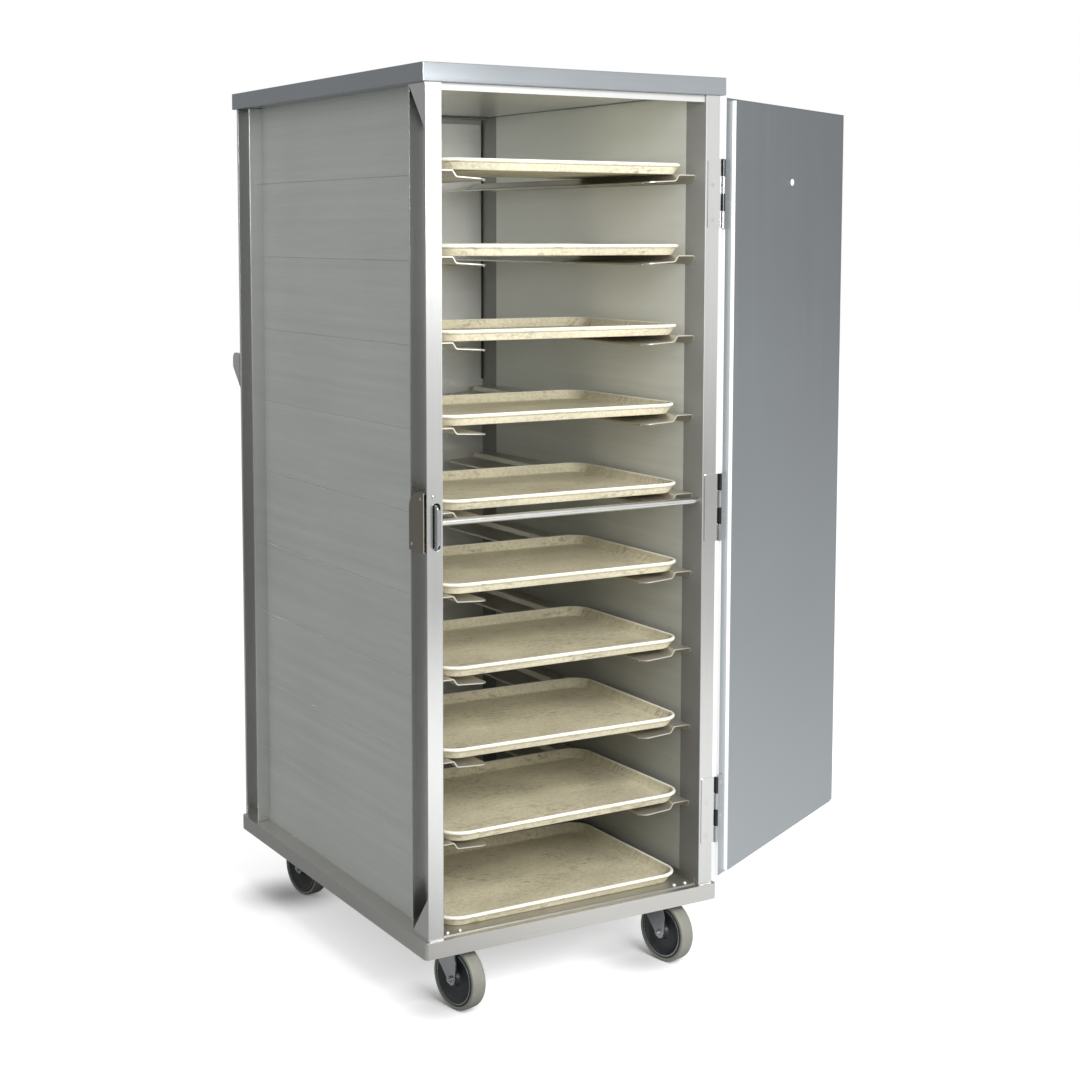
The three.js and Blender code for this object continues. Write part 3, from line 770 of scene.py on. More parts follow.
@dataclass(frozen=True)
class Finishes:
    """Every finish of the cart, each built once."""

    # The wall's inside faces are painted darker towards the bottom and lighter towards the top:
    # painted shade and light.
    wall: MillSheet = MillSheet("wall sheet", (204, 207, 203), Grain.ALONG_Y, streaks=0.13,
                                hairlines=0.08, roughness=0.46, metallic=0.25,
                                lining=InsideLookAndShade(PaintedLightRise(0.2, 1.8, 0.72, 1.85), 0.46))
    # The posts' inside faces are painted dark, darker towards the bottom: painted shade.
    post: MillSheet = MillSheet("post channel", (222, 223, 221), Grain.ALONG_Z, streaks=0.03,
                                roughness=0.2, metallic=0.95,
                                lining=InsideLookAndShade(PaintedLightRise(0.2, 1.8, 0.3, 0.62), 0.5))
    cap: MillSheet = MillSheet("cap sheet", (174, 180, 184), Grain.ALONG_X, streaks=0.04,
                               roughness=0.18, metallic=0.95)
    base: MillSheet = MillSheet("base rail", (212, 211, 207), Grain.ALONG_X, roughness=0.3,
                                metallic=0.95)
    back: MillSheet = MillSheet("back sheet", (240, 241, 238), Grain.ALONG_X, streaks=0.08,
                                clouds=0.2, roughness=0.3, metallic=0.5)
    pan: MillSheet = MillSheet("floor pan", (176, 174, 168), Grain.ALONG_X, streaks=0.06,
                               clouds=0.1)
    ledge: MillSheet = MillSheet("ledge sheet", (206, 203, 194), Grain.ALONG_Y)
    # The door's rise paints it darker towards the top: a painted reflection.
    door: MillSheet = MillSheet("door sheet", (178, 184, 187), Grain.ALONG_Z, streaks=0.02,
                                hairlines=0.02, clouds=0.03, roughness=0.4,
                                rise=PaintedLightRise(0.2, 1.8, 1.0, 0.7), marked=MarkedFaces())
    latch_case: MillSheet = MillSheet("latch case", (150, 145, 134), Grain.ALONG_Z)
    bright: Plating = Plating("drawn rod", (226, 226, 224), roughness=0.2, mottle=0.04)
    zinc: Plating = Plating("zinc plate", (196, 200, 202), roughness=0.26)
    steel: Plating = Plating("hinge steel", (190, 192, 193), roughness=0.28, mottle=0.06)
    # The door's knuckles: the same steel as the post's, painted dark as a painted dark reflection
    # in the barrel.
    knuckle: Plating = Plating("hinge barrel painted dark", (66, 68, 70), roughness=0.26, mottle=0.1)
    seal: Moulded = Moulded("corner seal", (48, 47, 45), roughness=0.5)
    plug: Moulded = Moulded("vent plug", (246, 246, 244), roughness=0.35, scuff=0.01)
    screw: Plating = Plating("screw steel", (214, 215, 214), roughness=0.22, mottle=0.05)
    rivet: Plating = Plating("rivet aluminium", (242, 242, 240), roughness=0.5, mottle=0.03)
    weld: Plating = Plating("weld bead", (188, 188, 184), roughness=0.42, mottle=0.14)
    tray: MouldedTray = MouldedTray("moulded tray")
    hub: Moulded = Moulded("wheel hub", (46, 50, 51), roughness=0.42)
    tread: Moulded = Moulded("wheel tread", (132, 132, 123), roughness=0.6, scuff=0.05)

    def built(self) -> dict[str, bpy.types.Material]:
        """Returns each finish's material by the finish's field name."""
        return {name: getattr(self, name).make() for name in self.__dataclass_fields__}


# --------------------------------------------------------------------------------------------
# The bench that pieces are made on
# --------------------------------------------------------------------------------------------


@dataclass
class Bench:
    """Puts skins and nodes into the scene with their finish and body."""

    nodes: dict[str, bpy.types.Object]
    paint: dict[str, bpy.types.Material]
    made: int = 0
    merge: float = 2e-5
    doubled: float = 1e-6
    same_way: float = 0.9
    bevel_segments: int = 2
    flat_below: float = math.radians(0.4)
    bevel_above: float = math.radians(32)
    sharp_above: float = math.radians(38)

    def dress(self, finish: str, *names: str) -> None:
        """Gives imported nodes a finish; their shape stays.

        Args:
            finish: the finish's field name.
            names: the nodes.
        """
        for name in names:
            mesh = self.nodes[name].data
            mesh.materials.clear()
            mesh.materials.append(self.paint[finish])
            log.info("%s keeps its solid, in %s", name, finish)

    def piece(self, name: str, skin: Skin, finish: str, body: str, slot: str,
              *replaced: str) -> None:
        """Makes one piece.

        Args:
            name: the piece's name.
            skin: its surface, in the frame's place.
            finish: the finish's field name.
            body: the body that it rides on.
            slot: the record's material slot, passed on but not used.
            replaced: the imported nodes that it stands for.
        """
        mesh = bpy.data.meshes.new(name)
        faces = [face.tolist() for group in skin.faces for face in group]
        mesh.from_pydata(skin.points.tolist(), [], faces)
        if skin.edge is not None:
            self._mark(mesh, "edge", "POINT", skin.edge)
        self._tidied(mesh)
        self._finished(name, mesh, finish, body, slot, replaced)

    def softened(self, node: str, finish: str, slot: str, width: float,
                 moved: Callable[[np.ndarray], np.ndarray] | None = None,
                 marks: dict[str, Point] | None = None) -> None:
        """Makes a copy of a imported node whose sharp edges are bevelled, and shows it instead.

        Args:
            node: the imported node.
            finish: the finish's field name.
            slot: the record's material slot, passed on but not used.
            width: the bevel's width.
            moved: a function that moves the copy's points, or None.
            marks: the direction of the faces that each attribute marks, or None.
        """
        mesh = self.nodes[node].data.copy()
        mesh.materials.clear()
        shape = bmesh.new()
        shape.from_mesh(mesh)
        bmesh.ops.remove_doubles(shape, verts=shape.verts, dist=self.merge)
        bmesh.ops.dissolve_limit(shape, angle_limit=self.flat_below, verts=shape.verts,
                                 edges=shape.edges)
        shape.to_mesh(mesh)
        shape.free()
        if moved:
            points = np.empty(len(mesh.vertices) * 3)
            mesh.vertices.foreach_get("co", points)
            mesh.vertices.foreach_set("co", moved(points.reshape(-1, 3)).ravel())
        if marks:
            normals = np.empty(len(mesh.polygons) * 3)
            mesh.polygons.foreach_get("normal", normals)
            for word, way in marks.items():
                is_marked = normals.reshape(-1, 3) @ np.array(way) > self.same_way
                self._mark(mesh, word, "FACE", is_marked)
        body = body_of(self.nodes[node])[0]
        self._finished(f"{node}_finished", mesh, finish, body, slot, [node], width)

    @staticmethod
    def _mark(mesh: bpy.types.Mesh, name: str, domain: str, values: np.ndarray) -> None:
        """Gives a mesh an attribute: a number for each of its points or faces."""
        attribute = mesh.attributes.new(name, "FLOAT", domain)
        attribute.data.foreach_set("value", values.astype(np.float32))

    def _tidied(self, mesh: bpy.types.Mesh) -> None:
        """Merges doubled points and turns every face outwards.

        Args:
            mesh: the mesh, changed in place.
        """
        shape = bmesh.new()
        shape.from_mesh(mesh)
        bmesh.ops.remove_doubles(shape, verts=shape.verts, dist=self.doubled)
        bmesh.ops.recalc_face_normals(shape, faces=shape.faces)
        shape.to_mesh(mesh)
        shape.free()

    def _finished(self, name: str, mesh: bpy.types.Mesh, finish: str, body: str, slot: str,
                  replaced: Sequence[str], soften: float = 0.0) -> None:
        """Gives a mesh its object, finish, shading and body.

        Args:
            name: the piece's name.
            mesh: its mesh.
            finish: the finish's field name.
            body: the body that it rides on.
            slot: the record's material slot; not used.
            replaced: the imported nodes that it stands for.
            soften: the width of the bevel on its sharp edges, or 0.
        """
        mesh.name = name
        mesh.materials.append(self.paint[finish])
        mesh.shade_smooth()
        thing = bpy.data.objects.new(name, mesh)
        bpy.context.scene.collection.objects.link(thing)
        if soften:
            bevel = thing.modifiers.new("soft edges", "BEVEL")
            bevel.width = soften
            bevel.segments = self.bevel_segments
            bevel.limit_method = "ANGLE"
            bevel.angle_limit = self.bevel_above
            weighted = thing.modifiers.new("flat faces", "WEIGHTED_NORMAL")
            weighted.mode = "FACE_AREA_WITH_ANGLE"
            weighted.weight = 100
        else:
            mesh.set_sharp_from_angle(angle=self.sharp_above)
        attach(thing, body)
        if replaced:
            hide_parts(*replaced)
        self.made += 1
        log.info("%s rides on %s, in %s", name, body, finish)


@dataclass(frozen=True)
class Plan:
    """The places that the frame gives: the cart's centre line and the levels of its shell.

    deck and soffit are heights, and the others are measured from the centre line.
    """

    centre: Vector
    deck: float
    soffit: float
    inside: float
    post_out: float
    post_front: float
    post_rear: float

    @classmethod
    def read(cls) -> Plan:
        """Reads the plan off the nodes' boxes.

        Returns:
            The plan.
        """
        base_low, base_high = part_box("base_frame")
        front_low, front_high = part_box("front_frame")
        centre = (base_low + base_high) / 2
        centre.z = 0.0
        return cls(
            centre=centre, deck=base_high.z, soffit=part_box("top_cap")[0].z,
            inside=centre.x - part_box("side_wall_left")[1].x,
            post_out=(front_high.x - front_low.x) / 2,
            post_front=front_low.y - centre.y, post_rear=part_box("rear_frame")[1].y - centre.y)


# --------------------------------------------------------------------------------------------
# Sub-assemblies
# --------------------------------------------------------------------------------------------


def folded(line: np.ndarray, thickness: float, low: np.ndarray, high: np.ndarray) -> Skin:
    """A bent sheet: a line in (x, z), thickened to its left and carried along Y.

    Args:
        line: the sheet's outer line, n by 2.
        thickness: the sheet's thickness.
        low: where each point of the line starts on Y.
        high: where each point ends.

    Returns:
        The closed skin, its ends made of quads across the thickness.
    """
    inner = offset_line(line, thickness)
    ring = np.vstack([line, inner[::-1]])
    ends = [np.concatenate([reach, reach[::-1]]) for reach in (low, high)]
    rings = np.stack([np.column_stack([ring[:, 0], end, ring[:, 1]]) for end in ends])
    sides = woven(rings, loop_columns=True)
    count = len(line)
    step = np.arange(count - 1)
    across = np.stack([step, step + 1, 2 * count - 2 - step, 2 * count - 1 - step], axis=-1)
    return Skin(sides.points, [*sides.faces, across[:, ::-1], across + 2 * count])


def rounded_box(half_x: float, half_y: float, radius: float, steps: int = 8) -> np.ndarray:
    """The outline of a rectangle about the origin with round corners."""
    corners = [(half_x, -half_y), (half_x, half_y), (-half_x, half_y), (-half_x, -half_y)]
    return filleted(corners, [radius] * 4, steps)


@dataclass(frozen=True)
class Shell:
    """Base, posts, walls, cap and floor, with their rivets, welds and sealant."""

    soft: float = 0.0014
    rivet: float = 0.0046
    rivet_rise: float = 0.0042
    rivet_x: tuple[float, ...] = (-0.279, -0.252, 0.252, 0.279)
    rivet_y: float = 0.011
    pan_sheet: float = 0.002
    bead: float = 0.0026
    bead_rings: int = 60
    bead_steps: int = 10
    ripple: tuple[float, float] = (0.18, 42.0)
    swell: tuple[float, float] = (0.12, 9.0)
    taper: tuple[float, float] = (14.0, 0.25)
    seal: float = 0.0022
    seal_foot: float = 1.16

    def build(self, bench: Bench, plan: Plan) -> None:
        """Makes the shell's pieces.

        Args:
            bench: where the pieces are made.
            plan: the cart's plan.
        """
        for node, finish in (("base_frame", "base"), ("front_frame", "post"),
                             ("rear_frame", "post"), ("top_cap", "cap")):
            bench.softened(node, finish, "frame_aluminium", self.soft)
        bench.dress("wall", "side_wall_left", "side_wall_right")
        bench.dress("back", "back_wall", "ceiling_panel")
        bench.dress("pan", "floor_pan")
        self._rivets(bench, plan)
        self._welds(bench, plan)
        self._seals(bench, plan)

    def _seals(self, bench: Bench, plan: Plan) -> None:
        """Runs a dark bead of sealant up the rear corners, from halfway up to the cap.

        Args:
            bench: where the pieces are made.
            plan: the cart's plan.
        """
        bead = rod(self.seal, plan.soffit - self.seal_foot, 0.0005, 12)
        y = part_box("back_wall")[0].y - self.seal
        beads = gathered(
            bead.at(plan.centre.x + side * (plan.inside - self.seal), y, self.seal_foot)
            for side in (-1, 1))
        bench.piece("corner_seals", beads, "seal", "cabinet", "frame_aluminium")

    def _rivets(self, bench: Bench, plan: Plan) -> None:
        """Rivets the floor pan to the base rail at its front corners.

        Args:
            bench: where the pieces are made.
            plan: the cart's plan.
        """
        low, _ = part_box("floor_pan")
        head = domed_head(self.rivet, self.rivet_rise)
        heads = gathered(head.at(plan.centre.x + x, low.y + self.rivet_y, low.z + self.pan_sheet)
                         for x in self.rivet_x)
        bench.piece("floor_rivets", heads, "rivet", "cabinet", "frame_aluminium")

    def _welds(self, bench: Bench, plan: Plan) -> None:
        """Lays a weld bead along the foot of each post.

        Args:
            bench: where the pieces are made.
            plan: the cart's plan.
        """
        beads = gathered(
            self._bead((side * plan.inside, face, plan.deck),
                       (side * plan.post_out, face, plan.deck))
            for side in (-1, 1) for face in (plan.post_front, plan.post_rear))
        bench.piece("foot_welds", beads.at(plan.centre.x, plan.centre.y, 0.0), "weld", "cabinet",
                    "frame_aluminium")

    def _bead(self, first: Point, last: Point) -> Skin:
        """A weld bead: rings along a line, whose radius ripples and shrinks at both ends.

        With s from 0 to 1 along the line, the radius is the bead's, times one plus the ripple's
        |sin s| less the swell's cos s, each at its own rate, times the taper: the distance to the
        nearer end times its slope, plus what is left at the very end, and at most 1.

        Args:
            first: where it starts.
            last: where it ends, on the same Y and Z.

        Returns:
            The closed skin.
        """
        start, end = np.array(first), np.array(last)
        along = np.linspace(0, 1, self.bead_rings)
        (ripple, ripple_rate), (swell, swell_rate), (slope, left) = (
            self.ripple, self.swell, self.taper)
        wave = (1.0 + ripple * np.abs(np.sin(along * ripple_rate))
                - swell * np.cos(along * swell_rate))
        taper = np.minimum(1.0, np.minimum(along, 1 - along) * slope + left)
        turn = np.linspace(0, 2 * math.pi, self.bead_steps, endpoint=False)
        radius = (self.bead * wave * taper)[:, None, None]
        ring = np.column_stack([np.zeros(self.bead_steps), np.cos(turn), np.sin(turn)])[None]
        centre = start + (end - start) * along[:, None]
        return capped(centre[:, None] + ring * radius)


@dataclass(frozen=True)
class Ledges:
    """Nine pairs of bent ledges: leg, upper seat, step, lower seat and hem in one sheet.

    The leg's ends and the lower seat's corners are round, so the sheet starts later there on Y.
    """

    count: int = 9
    sheet: float = 0.0022
    leg: float = 0.018
    step_x: float = 0.0411
    step_run: float = 0.0078
    drop: float = 0.0118
    fall: float = 0.004
    hem: float = 0.004
    bend: float = 0.0036
    corner: float = 0.017
    longest_step: float = 0.006

    def build(self, bench: Bench) -> None:
        """Makes the ledges of both sides.

        Args:
            bench: where the pieces are made.
        """
        for level in range(1, self.count + 1):
            for side, word in ((-1, "left"), (1, "right")):
                name = f"ledge_{word}_{level}"
                bench.piece(f"{name}_bent", self._ledge(name, side), "ledge", "cabinet",
                            "ledge_aluminium", name)

    def _ledge(self, name: str, side: int) -> Skin:
        """One ledge: a bent line from the wall to the hem, thickened and carried along Y.

        Args:
            name: the ledge's node, whose box it fills.
            side: -1 on the left, 1 on the right.

        Returns:
            The closed skin.
        """
        low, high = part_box(name)
        tip, top = high.x - low.x, high.z
        lip = top - self.drop - self.fall
        line = self._subdivided(filleted(
            [(0.0, top - self.leg), (0.0, top), (-self.step_x, top),
             (-self.step_x - self.step_run, top - self.drop), (-tip, lip), (-tip, lip - self.hem)],
            [0, self.bend, self.bend * 1.4, self.bend * 1.4, self.bend * 0.7, 0], 5, closed=False))
        into = np.clip(self.corner - (line[:, 0] + tip), 0, self.corner)
        below = np.where(line[:, 0] > -self.bend, top - line[:, 1], 0.0)
        cut = self.corner - np.sqrt(self.corner**2 - into**2)
        cut = cut + self.leg - np.sqrt(np.clip(self.leg**2 - below**2, 0, None))
        skin = folded(line, self.sheet, low.y + cut, high.y - cut)
        outer = high.x if side > 0 else low.x
        return Skin(skin.points * (side, 1, 1) + (outer, 0, 0), skin.faces)

    def _subdivided(self, line: np.ndarray) -> np.ndarray:
        """Adds points to a line so that none of its steps is too long.

        Args:
            line: the points, n by 2.

        Returns:
            The old points with the new ones between them.
        """
        parts = []
        for start, end in zip(line[:-1], line[1:]):
            steps = max(1, math.ceil(np.linalg.norm(end - start) / self.longest_step))
            parts.append(start + (end - start) * np.linspace(0, 1, steps, endpoint=False)[:, None])
        return np.vstack([*parts, line[-1:]])


@dataclass(frozen=True)
class Trays:
    """Ten moulded trays: a flat floor, sides that flare out and a round bead on the rim."""

    count: int = 10
    corner: float = 0.050
    corner_steps: int = 16
    flare: float = 0.0135
    wall: float = 0.0030
    bead: float = 0.0040
    side_wear: float = 0.34
    inner_wear: float = 0.12

    def build(self, bench: Bench) -> None:
        """Makes the trays, each where its node lies.

        Args:
            bench: where the pieces are made.
        """
        for number in range(1, self.count + 1):
            name = f"tray_{number}"
            bench.piece(f"{name}_moulded", self._tray(name), "tray", name, "tray_fibreglass", name)

    def _profile(self, height: float) -> np.ndarray:
        """The tray's section from its underside round the rim's bead to its floor.

        Args:
            height: the tray's height.

        Returns:
            Inset from the rim, height and wear of each point, n by 3.
        """
        bead, flare, wall = self.bead, self.flare, self.wall
        turn = np.radians(np.linspace(-100, 150, 15))
        crown = np.column_stack([bead - bead * np.cos(turn), height - bead + bead * np.sin(turn)])
        # The crown's rubbing peaks on the bead's top, where it is partly a painted highlight.
        worn = np.clip(np.sin(turn + 0.35) * 0.9 + 0.35, 0, 1)
        outside = [(flare + 6.0e-3, 0.0), (flare + 1.2e-3, 0.0), (flare + 0.2e-3, 0.6e-3),
                   (flare - 0.6e-3, 2.0e-3), (bead + 1.1e-3, height - bead * 2.2)]
        lip = [(bead * 2.3, height - bead * 1.9), (bead * 2.9, height - bead * 2.8)]
        inside = [(flare + wall + inset, wall + rise) for inset, rise in
                  ((-0.6e-3, 3.4e-3), (0.8e-3, 1.5e-3), (2.8e-3, 0.4e-3), (6.0e-3, 0.0))]
        rows = [(*row, self.side_wear) for row in outside]
        rows += [(*row, wear_and_highlight) for row, wear_and_highlight in zip(crown, worn)]
        rows += [(*row, self.inner_wear) for row in lip]
        rows += [(*row, 0.0) for row in inside]
        return np.array(rows)

    def _tray(self, name: str) -> Skin:
        """One tray: a rounded rectangle at each point of the section, drawn in by its inset.

        Args:
            name: the tray's node, whose place, turn and size it takes.

        Returns:
            The closed skin, with its rubbing and painted highlight as the edge number.
        """
        points = self._node_points(name)
        angle = min(np.radians(np.arange(-2, 2, 0.05)),
                    key=lambda turn: self._reach(points, turn)[1].prod())
        middle, size = self._reach(points, angle)
        half_x, half_y = size / 2
        low, high = points[:, 2].min(), points[:, 2].max()
        profile = self._profile(high - low)
        steps = self.corner_steps
        count = 4 * (steps + 1)
        skin = capped(np.stack([
            np.column_stack([
                rounded_box(half_x - inset, half_y - inset, self.corner - inset, steps),
                np.full(count, z)])
            for inset, z, _ in profile]))
        skin.edge = np.repeat(profile[:, 2], count)
        return skin.moved(Matrix.Translation((*middle, low)) @ Matrix.Rotation(angle, 4, "Z"))

    @staticmethod
    def _reach(points: np.ndarray, turn: float) -> tuple[np.ndarray, np.ndarray]:
        """The box in plan that fits round some points when its axes are turned by an angle.

        Args:
            points: the points, n by 3.
            turn: the angle in radians.

        Returns:
            The middle of the box and its size along its own axes.
        """
        axes = np.array([[math.cos(turn), math.sin(turn)], [-math.sin(turn), math.cos(turn)]])
        across = points[:, :2] @ axes.T
        low, high = across.min(axis=0), across.max(axis=0)
        return (low + high) / 2 @ axes, high - low

    @staticmethod
    def _node_points(name: str) -> np.ndarray:
        """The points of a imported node.

        Args:
            name: the node's name.

        Returns:
            The points, each once, n by 3.
        """
        mesh = bpy.data.objects[name].data
        points = np.empty(len(mesh.vertices) * 3)
        mesh.vertices.foreach_get("co", points)
        return np.unique(points.reshape(-1, 3).round(6), axis=0)


@dataclass(frozen=True)
class Bars:
    """The tie rod across the mouth and the push handle on the back."""

    handle: float = 0.0125
    stand_off: float = 0.029
    bracket: float = 0.004
    corner: float = 0.015
    foot: float = 0.034
    foot_sheet: float = 0.003
    bolt_in: float = 0.022
    bolt_up: float = 0.016

    def build(self, bench: Bench) -> None:
        """Makes both bars, and the bolts of the handle's feet.

        Args:
            bench: where the pieces are made.
        """
        low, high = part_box("tie_rod")
        middle = (low + high) / 2
        start = facing((1, 0, 0), (low.x, middle.y, middle.z))
        skin = rod((high.z - low.z) / 2, high.x - low.x, 0.0004, 48).moved(start)
        bench.piece("tie_rod_drawn", skin, "bright", "cabinet", "polished_steel", "tie_rod")
        bench.piece("push_handle_welded", self._handle(), "bright", "cabinet", "polished_steel",
                    "push_handle")
        bench.piece("push_handle_bolts", self._bolts(), "screw", "cabinet", "polished_steel")

    def _handle(self) -> Skin:
        """The bar with its two triangular brackets and their feet, which are flat plates.

        Returns:
            The skin.
        """
        low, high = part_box("push_handle")
        face, bar_y, bar_z = low.y, low.y + self.stand_off, high.z - self.corner
        parts = [rod(self.handle, high.x - low.x - self.bracket, 0.0005, 48).moved(
            facing((1, 0, 0), (low.x + self.bracket / 2, bar_y, bar_z)))]
        back = bar_y + self.corner
        outline = filleted([(face, high.z), (back, high.z), (back, bar_z - 0.017), (face, low.z)],
                           [0.002, self.corner - 0.0002, 0.006, 0.003], 8)
        for x0 in (low.x, high.x - self.bracket):
            parts.append(prism(outline, x0, x0 + self.bracket, "x"))
        for x0 in (low.x, high.x - self.foot):
            plate = rounded_box(self.foot / 2, (high.z - low.z) / 2, 0.004)
            place = (x0 + self.foot / 2, (high.z + low.z) / 2)
            parts.append(prism(plate + place, face, face + self.foot_sheet, "y"))
        return gathered(parts)

    def _bolts(self) -> Skin:
        """Two bolts through each of the handle's feet.

        Returns:
            The skin of the bolts' heads.
        """
        low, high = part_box("push_handle")
        return set_in(bolt_head(0.010, 0.004), (0, 1, 0), [
            (x, low.y + self.foot_sheet, z)
            for x in (low.x + self.bolt_in, high.x - self.bolt_in)
            for z in (low.z + self.bolt_up, high.z - self.bolt_up)])


@dataclass(frozen=True)
class Swing:
    """The door's turn from shut to where it rests, about its hinge pins."""

    pin: Vector
    turn: float

    @classmethod
    def read(cls, joints: dict[str, Any]) -> Swing:
        """Reads the pin and the rest angle off the door's joint."""
        joint = joints["door_hinge"]
        return cls(Vector(joint["pos_m"]), math.radians(-joint["range_deg"][0]))

    def on(self, body: str, skin: Skin) -> Skin:
        """Moves a skin drawn about the pin, with the door shut, to where its body carries it."""
        turn = Matrix.Rotation(self.turn if body == "door" else 0.0, 4, "Z")
        return skin.moved(Matrix.Translation((self.pin.x, self.pin.y, 0.0)) @ turn)


@dataclass(frozen=True)
class Leaf:
    """One leaf of a hinge, as it lies when the door is shut.

    first is the place of its upper knuckle, counted from the top: 0 or 1. side is 1 where its
    plate lies behind the pins and -1 where it lies before them.
    """

    word: str
    node: str
    body: str
    knuckles: str
    plate: str
    first: int
    side: int
    sheet: float
    screw_x: float
    has_pin: bool


@dataclass(frozen=True)
class Door:
    """The door and its three butt hinges, each with a pin, four knuckles and four screws.

    The part of the door within hinge_side of the pins is drawn back from the post. The lengths
    along the door and its leaves run from the pins.
    """

    soft: float = 0.0016
    hinge_side: float = 0.0075
    draw_back: float = 0.010
    vent: float = 0.0075
    vent_rise: float = 0.0035
    vent_along: float = 0.335
    vent_down: float = 0.161
    vent_face: float = 0.006
    knuckle: float = 0.0047
    knuckle_edge: float = 0.0005
    knuckle_gap: float = 0.0010
    pin: float = 0.0025
    pin_play: float = 0.0002
    gap: float = 0.0001
    reach: float = 0.0363
    corner: float = 0.004
    notch_corner: float = 0.001
    screw: float = 0.0048
    screw_rise: float = 0.00016
    leaves: tuple[Leaf, ...] = (
        Leaf("post", "frame", "cabinet", "steel", "post", 1, 1, 0.0019, -0.0253, True),
        # The door's leaf takes the dark knuckle finish: the same steel painted dark, a painted dark
        # reflection.
        Leaf("door", "door", "door", "knuckle", "door", 0, -1, 0.0017, -0.0222, False),
    )

    def build(self, bench: Bench, swing: Swing) -> None:
        """Makes the door, the plug in its vent and its hinges.

        Args:
            bench: where the pieces are made.
            swing: the door's turn about its pins.
        """
        cos, sin = math.cos(swing.turn), math.sin(swing.turn)
        # The door's faces towards the pins are marked edge, painted white as a painted highlight on
        # its lip; its back is marked outside.
        bench.softened("door_panel", "door", "door_aluminium", self.soft,
                       lambda points: self._clear_of_post(points, swing),
                       {"edge": (cos, sin, 0.0), "outside": (sin, -cos, 0.0)})
        spot = (-self.vent_along, self.vent_face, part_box("door_panel")[1].z - self.vent_down)
        plug = set_in(domed_head(self.vent, self.vent_rise), (0, 1, 0), [spot])
        bench.piece("vent_plug", swing.on("door", plug), "plug", "door", "door_aluminium")
        for word in ("top", "middle", "bottom"):
            self._hinge(bench, swing, f"hinge_{word}")

    def _hinge(self, bench: Bench, swing: Swing, name: str) -> None:
        """Makes one hinge: each leaf's knuckles and plate, then the screws.

        Args:
            bench: where the pieces are made.
            swing: the door's turn about its pins.
            name: the hinge's name.
        """
        low, high = (corner.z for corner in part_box(f"{name}_frame_leaf"))
        for leaf in self.leaves:
            barrel = swing.on(leaf.body, self._barrel(low, high, leaf))
            plate = swing.on(leaf.body, self._plate(low, high, leaf))
            bench.piece(f"{name}_{leaf.word}_knuckles", barrel, leaf.knuckles, leaf.body,
                        "hinge_steel", f"{name}_{leaf.node}_leaf")
            bench.piece(f"{name}_{leaf.word}_leaf", plate, leaf.plate, leaf.body, "hinge_steel")
        for leaf in self.leaves:
            screws = swing.on(leaf.body, self._screws(low, high, leaf))
            bench.piece(f"{name}_{leaf.word}_screws", screws, "screw", leaf.body, "hinge_steel")

    def _spans(self, low: float, high: float, leaf: Leaf) -> list[tuple[float, float]]:
        """The heights of a leaf's two knuckles: every other quarter of the hinge, less the gaps.

        Args:
            low: the hinge's foot.
            high: its top.
            leaf: whose knuckles.

        Returns:
            The bottom and top of each knuckle, the upper one first.
        """
        length = (high - low) / 4
        tops = [high - place * length for place in (leaf.first, leaf.first + 2)]
        return [(top - length + self.knuckle_gap / 2, top - self.knuckle_gap / 2) for top in tops]

    def _clear_of_post(self, points: np.ndarray, swing: Swing) -> np.ndarray:
        """Draws the door's hinge side back from the post, to the gap that shows beside the pins.

        Args:
            points: the door's points, n by 3.
            swing: the door's turn about its pins.

        Returns:
            The points, those near the pins moved along the door.
        """
        run = np.array([-math.cos(swing.turn), -math.sin(swing.turn), 0.0])
        along = (points - np.array((swing.pin.x, swing.pin.y, 0.0))) @ run
        return points + np.where(along < self.hinge_side, self.draw_back, 0.0)[:, None] * run

    def _barrel(self, low: float, high: float, leaf: Leaf) -> Skin:
        """A leaf's knuckles, turned about the pin, and the pin itself on the leaf that has it.

        Args:
            low: the hinge's foot.
            high: its top.
            leaf: whose knuckles.

        Returns:
            The skin, about the pin's own line.
        """
        bore = 0.0 if leaf.has_pin else self.pin + self.pin_play
        outer, edge = self.knuckle, self.knuckle_edge
        parts = []
        for bottom, top in self._spans(low, high, leaf):
            profile = np.array([(bore, bottom), (outer - edge, bottom), (outer, bottom + edge),
                                (outer, top - edge), (outer - edge, top), (bore, top)])
            parts.append(revolved(profile, 32, closed=not leaf.has_pin))
        if leaf.has_pin:
            parts.append(rod(self.pin, high - low, 0.0004, 24).at(0, 0, low))
        return gathered(parts)

    def _plate(self, low: float, high: float, leaf: Leaf) -> Skin:
        """A leaf's flat plate: a rectangle, notched round the other leaf's knuckles.

        Args:
            low: the hinge's foot.
            high: its top.
            leaf: which leaf.

        Returns:
            The skin, as it lies on the shut door.
        """
        clear, neck = -self.knuckle - self.knuckle_gap, -self.knuckle * 0.55
        corners = [(-self.reach, low), (-self.reach, high)]
        radii = [self.corner, self.corner]
        for bottom, top in self._spans(low, high, leaf):
            corners += [(clear, top), (neck, top), (neck, bottom), (clear, bottom)]
            radii += [0.0, 0.0, 0.0, 0.0]
        place = 2 if leaf.first else len(corners)
        corners.insert(place, (clear, high if leaf.first else low))
        radii.insert(place, self.notch_corner)
        near, far = sorted((leaf.side * self.gap, leaf.side * (self.gap + leaf.sheet)))
        return prism(filleted(corners, radii), near, far, "y")

    def _screws(self, low: float, high: float, leaf: Leaf) -> Skin:
        """A leaf's countersunk screws, each level with one of its knuckles and nearly flush.

        Args:
            low: the hinge's foot.
            high: its top.
            leaf: which leaf.

        Returns:
            The skin, as it lies on the shut door.
        """
        return set_in(screw_head(self.screw, self.screw_rise), (0, -leaf.side, 0), [
            (leaf.screw_x, leaf.side * self.gap, (bottom + top) / 2)
            for bottom, top in self._spans(low, high, leaf)])


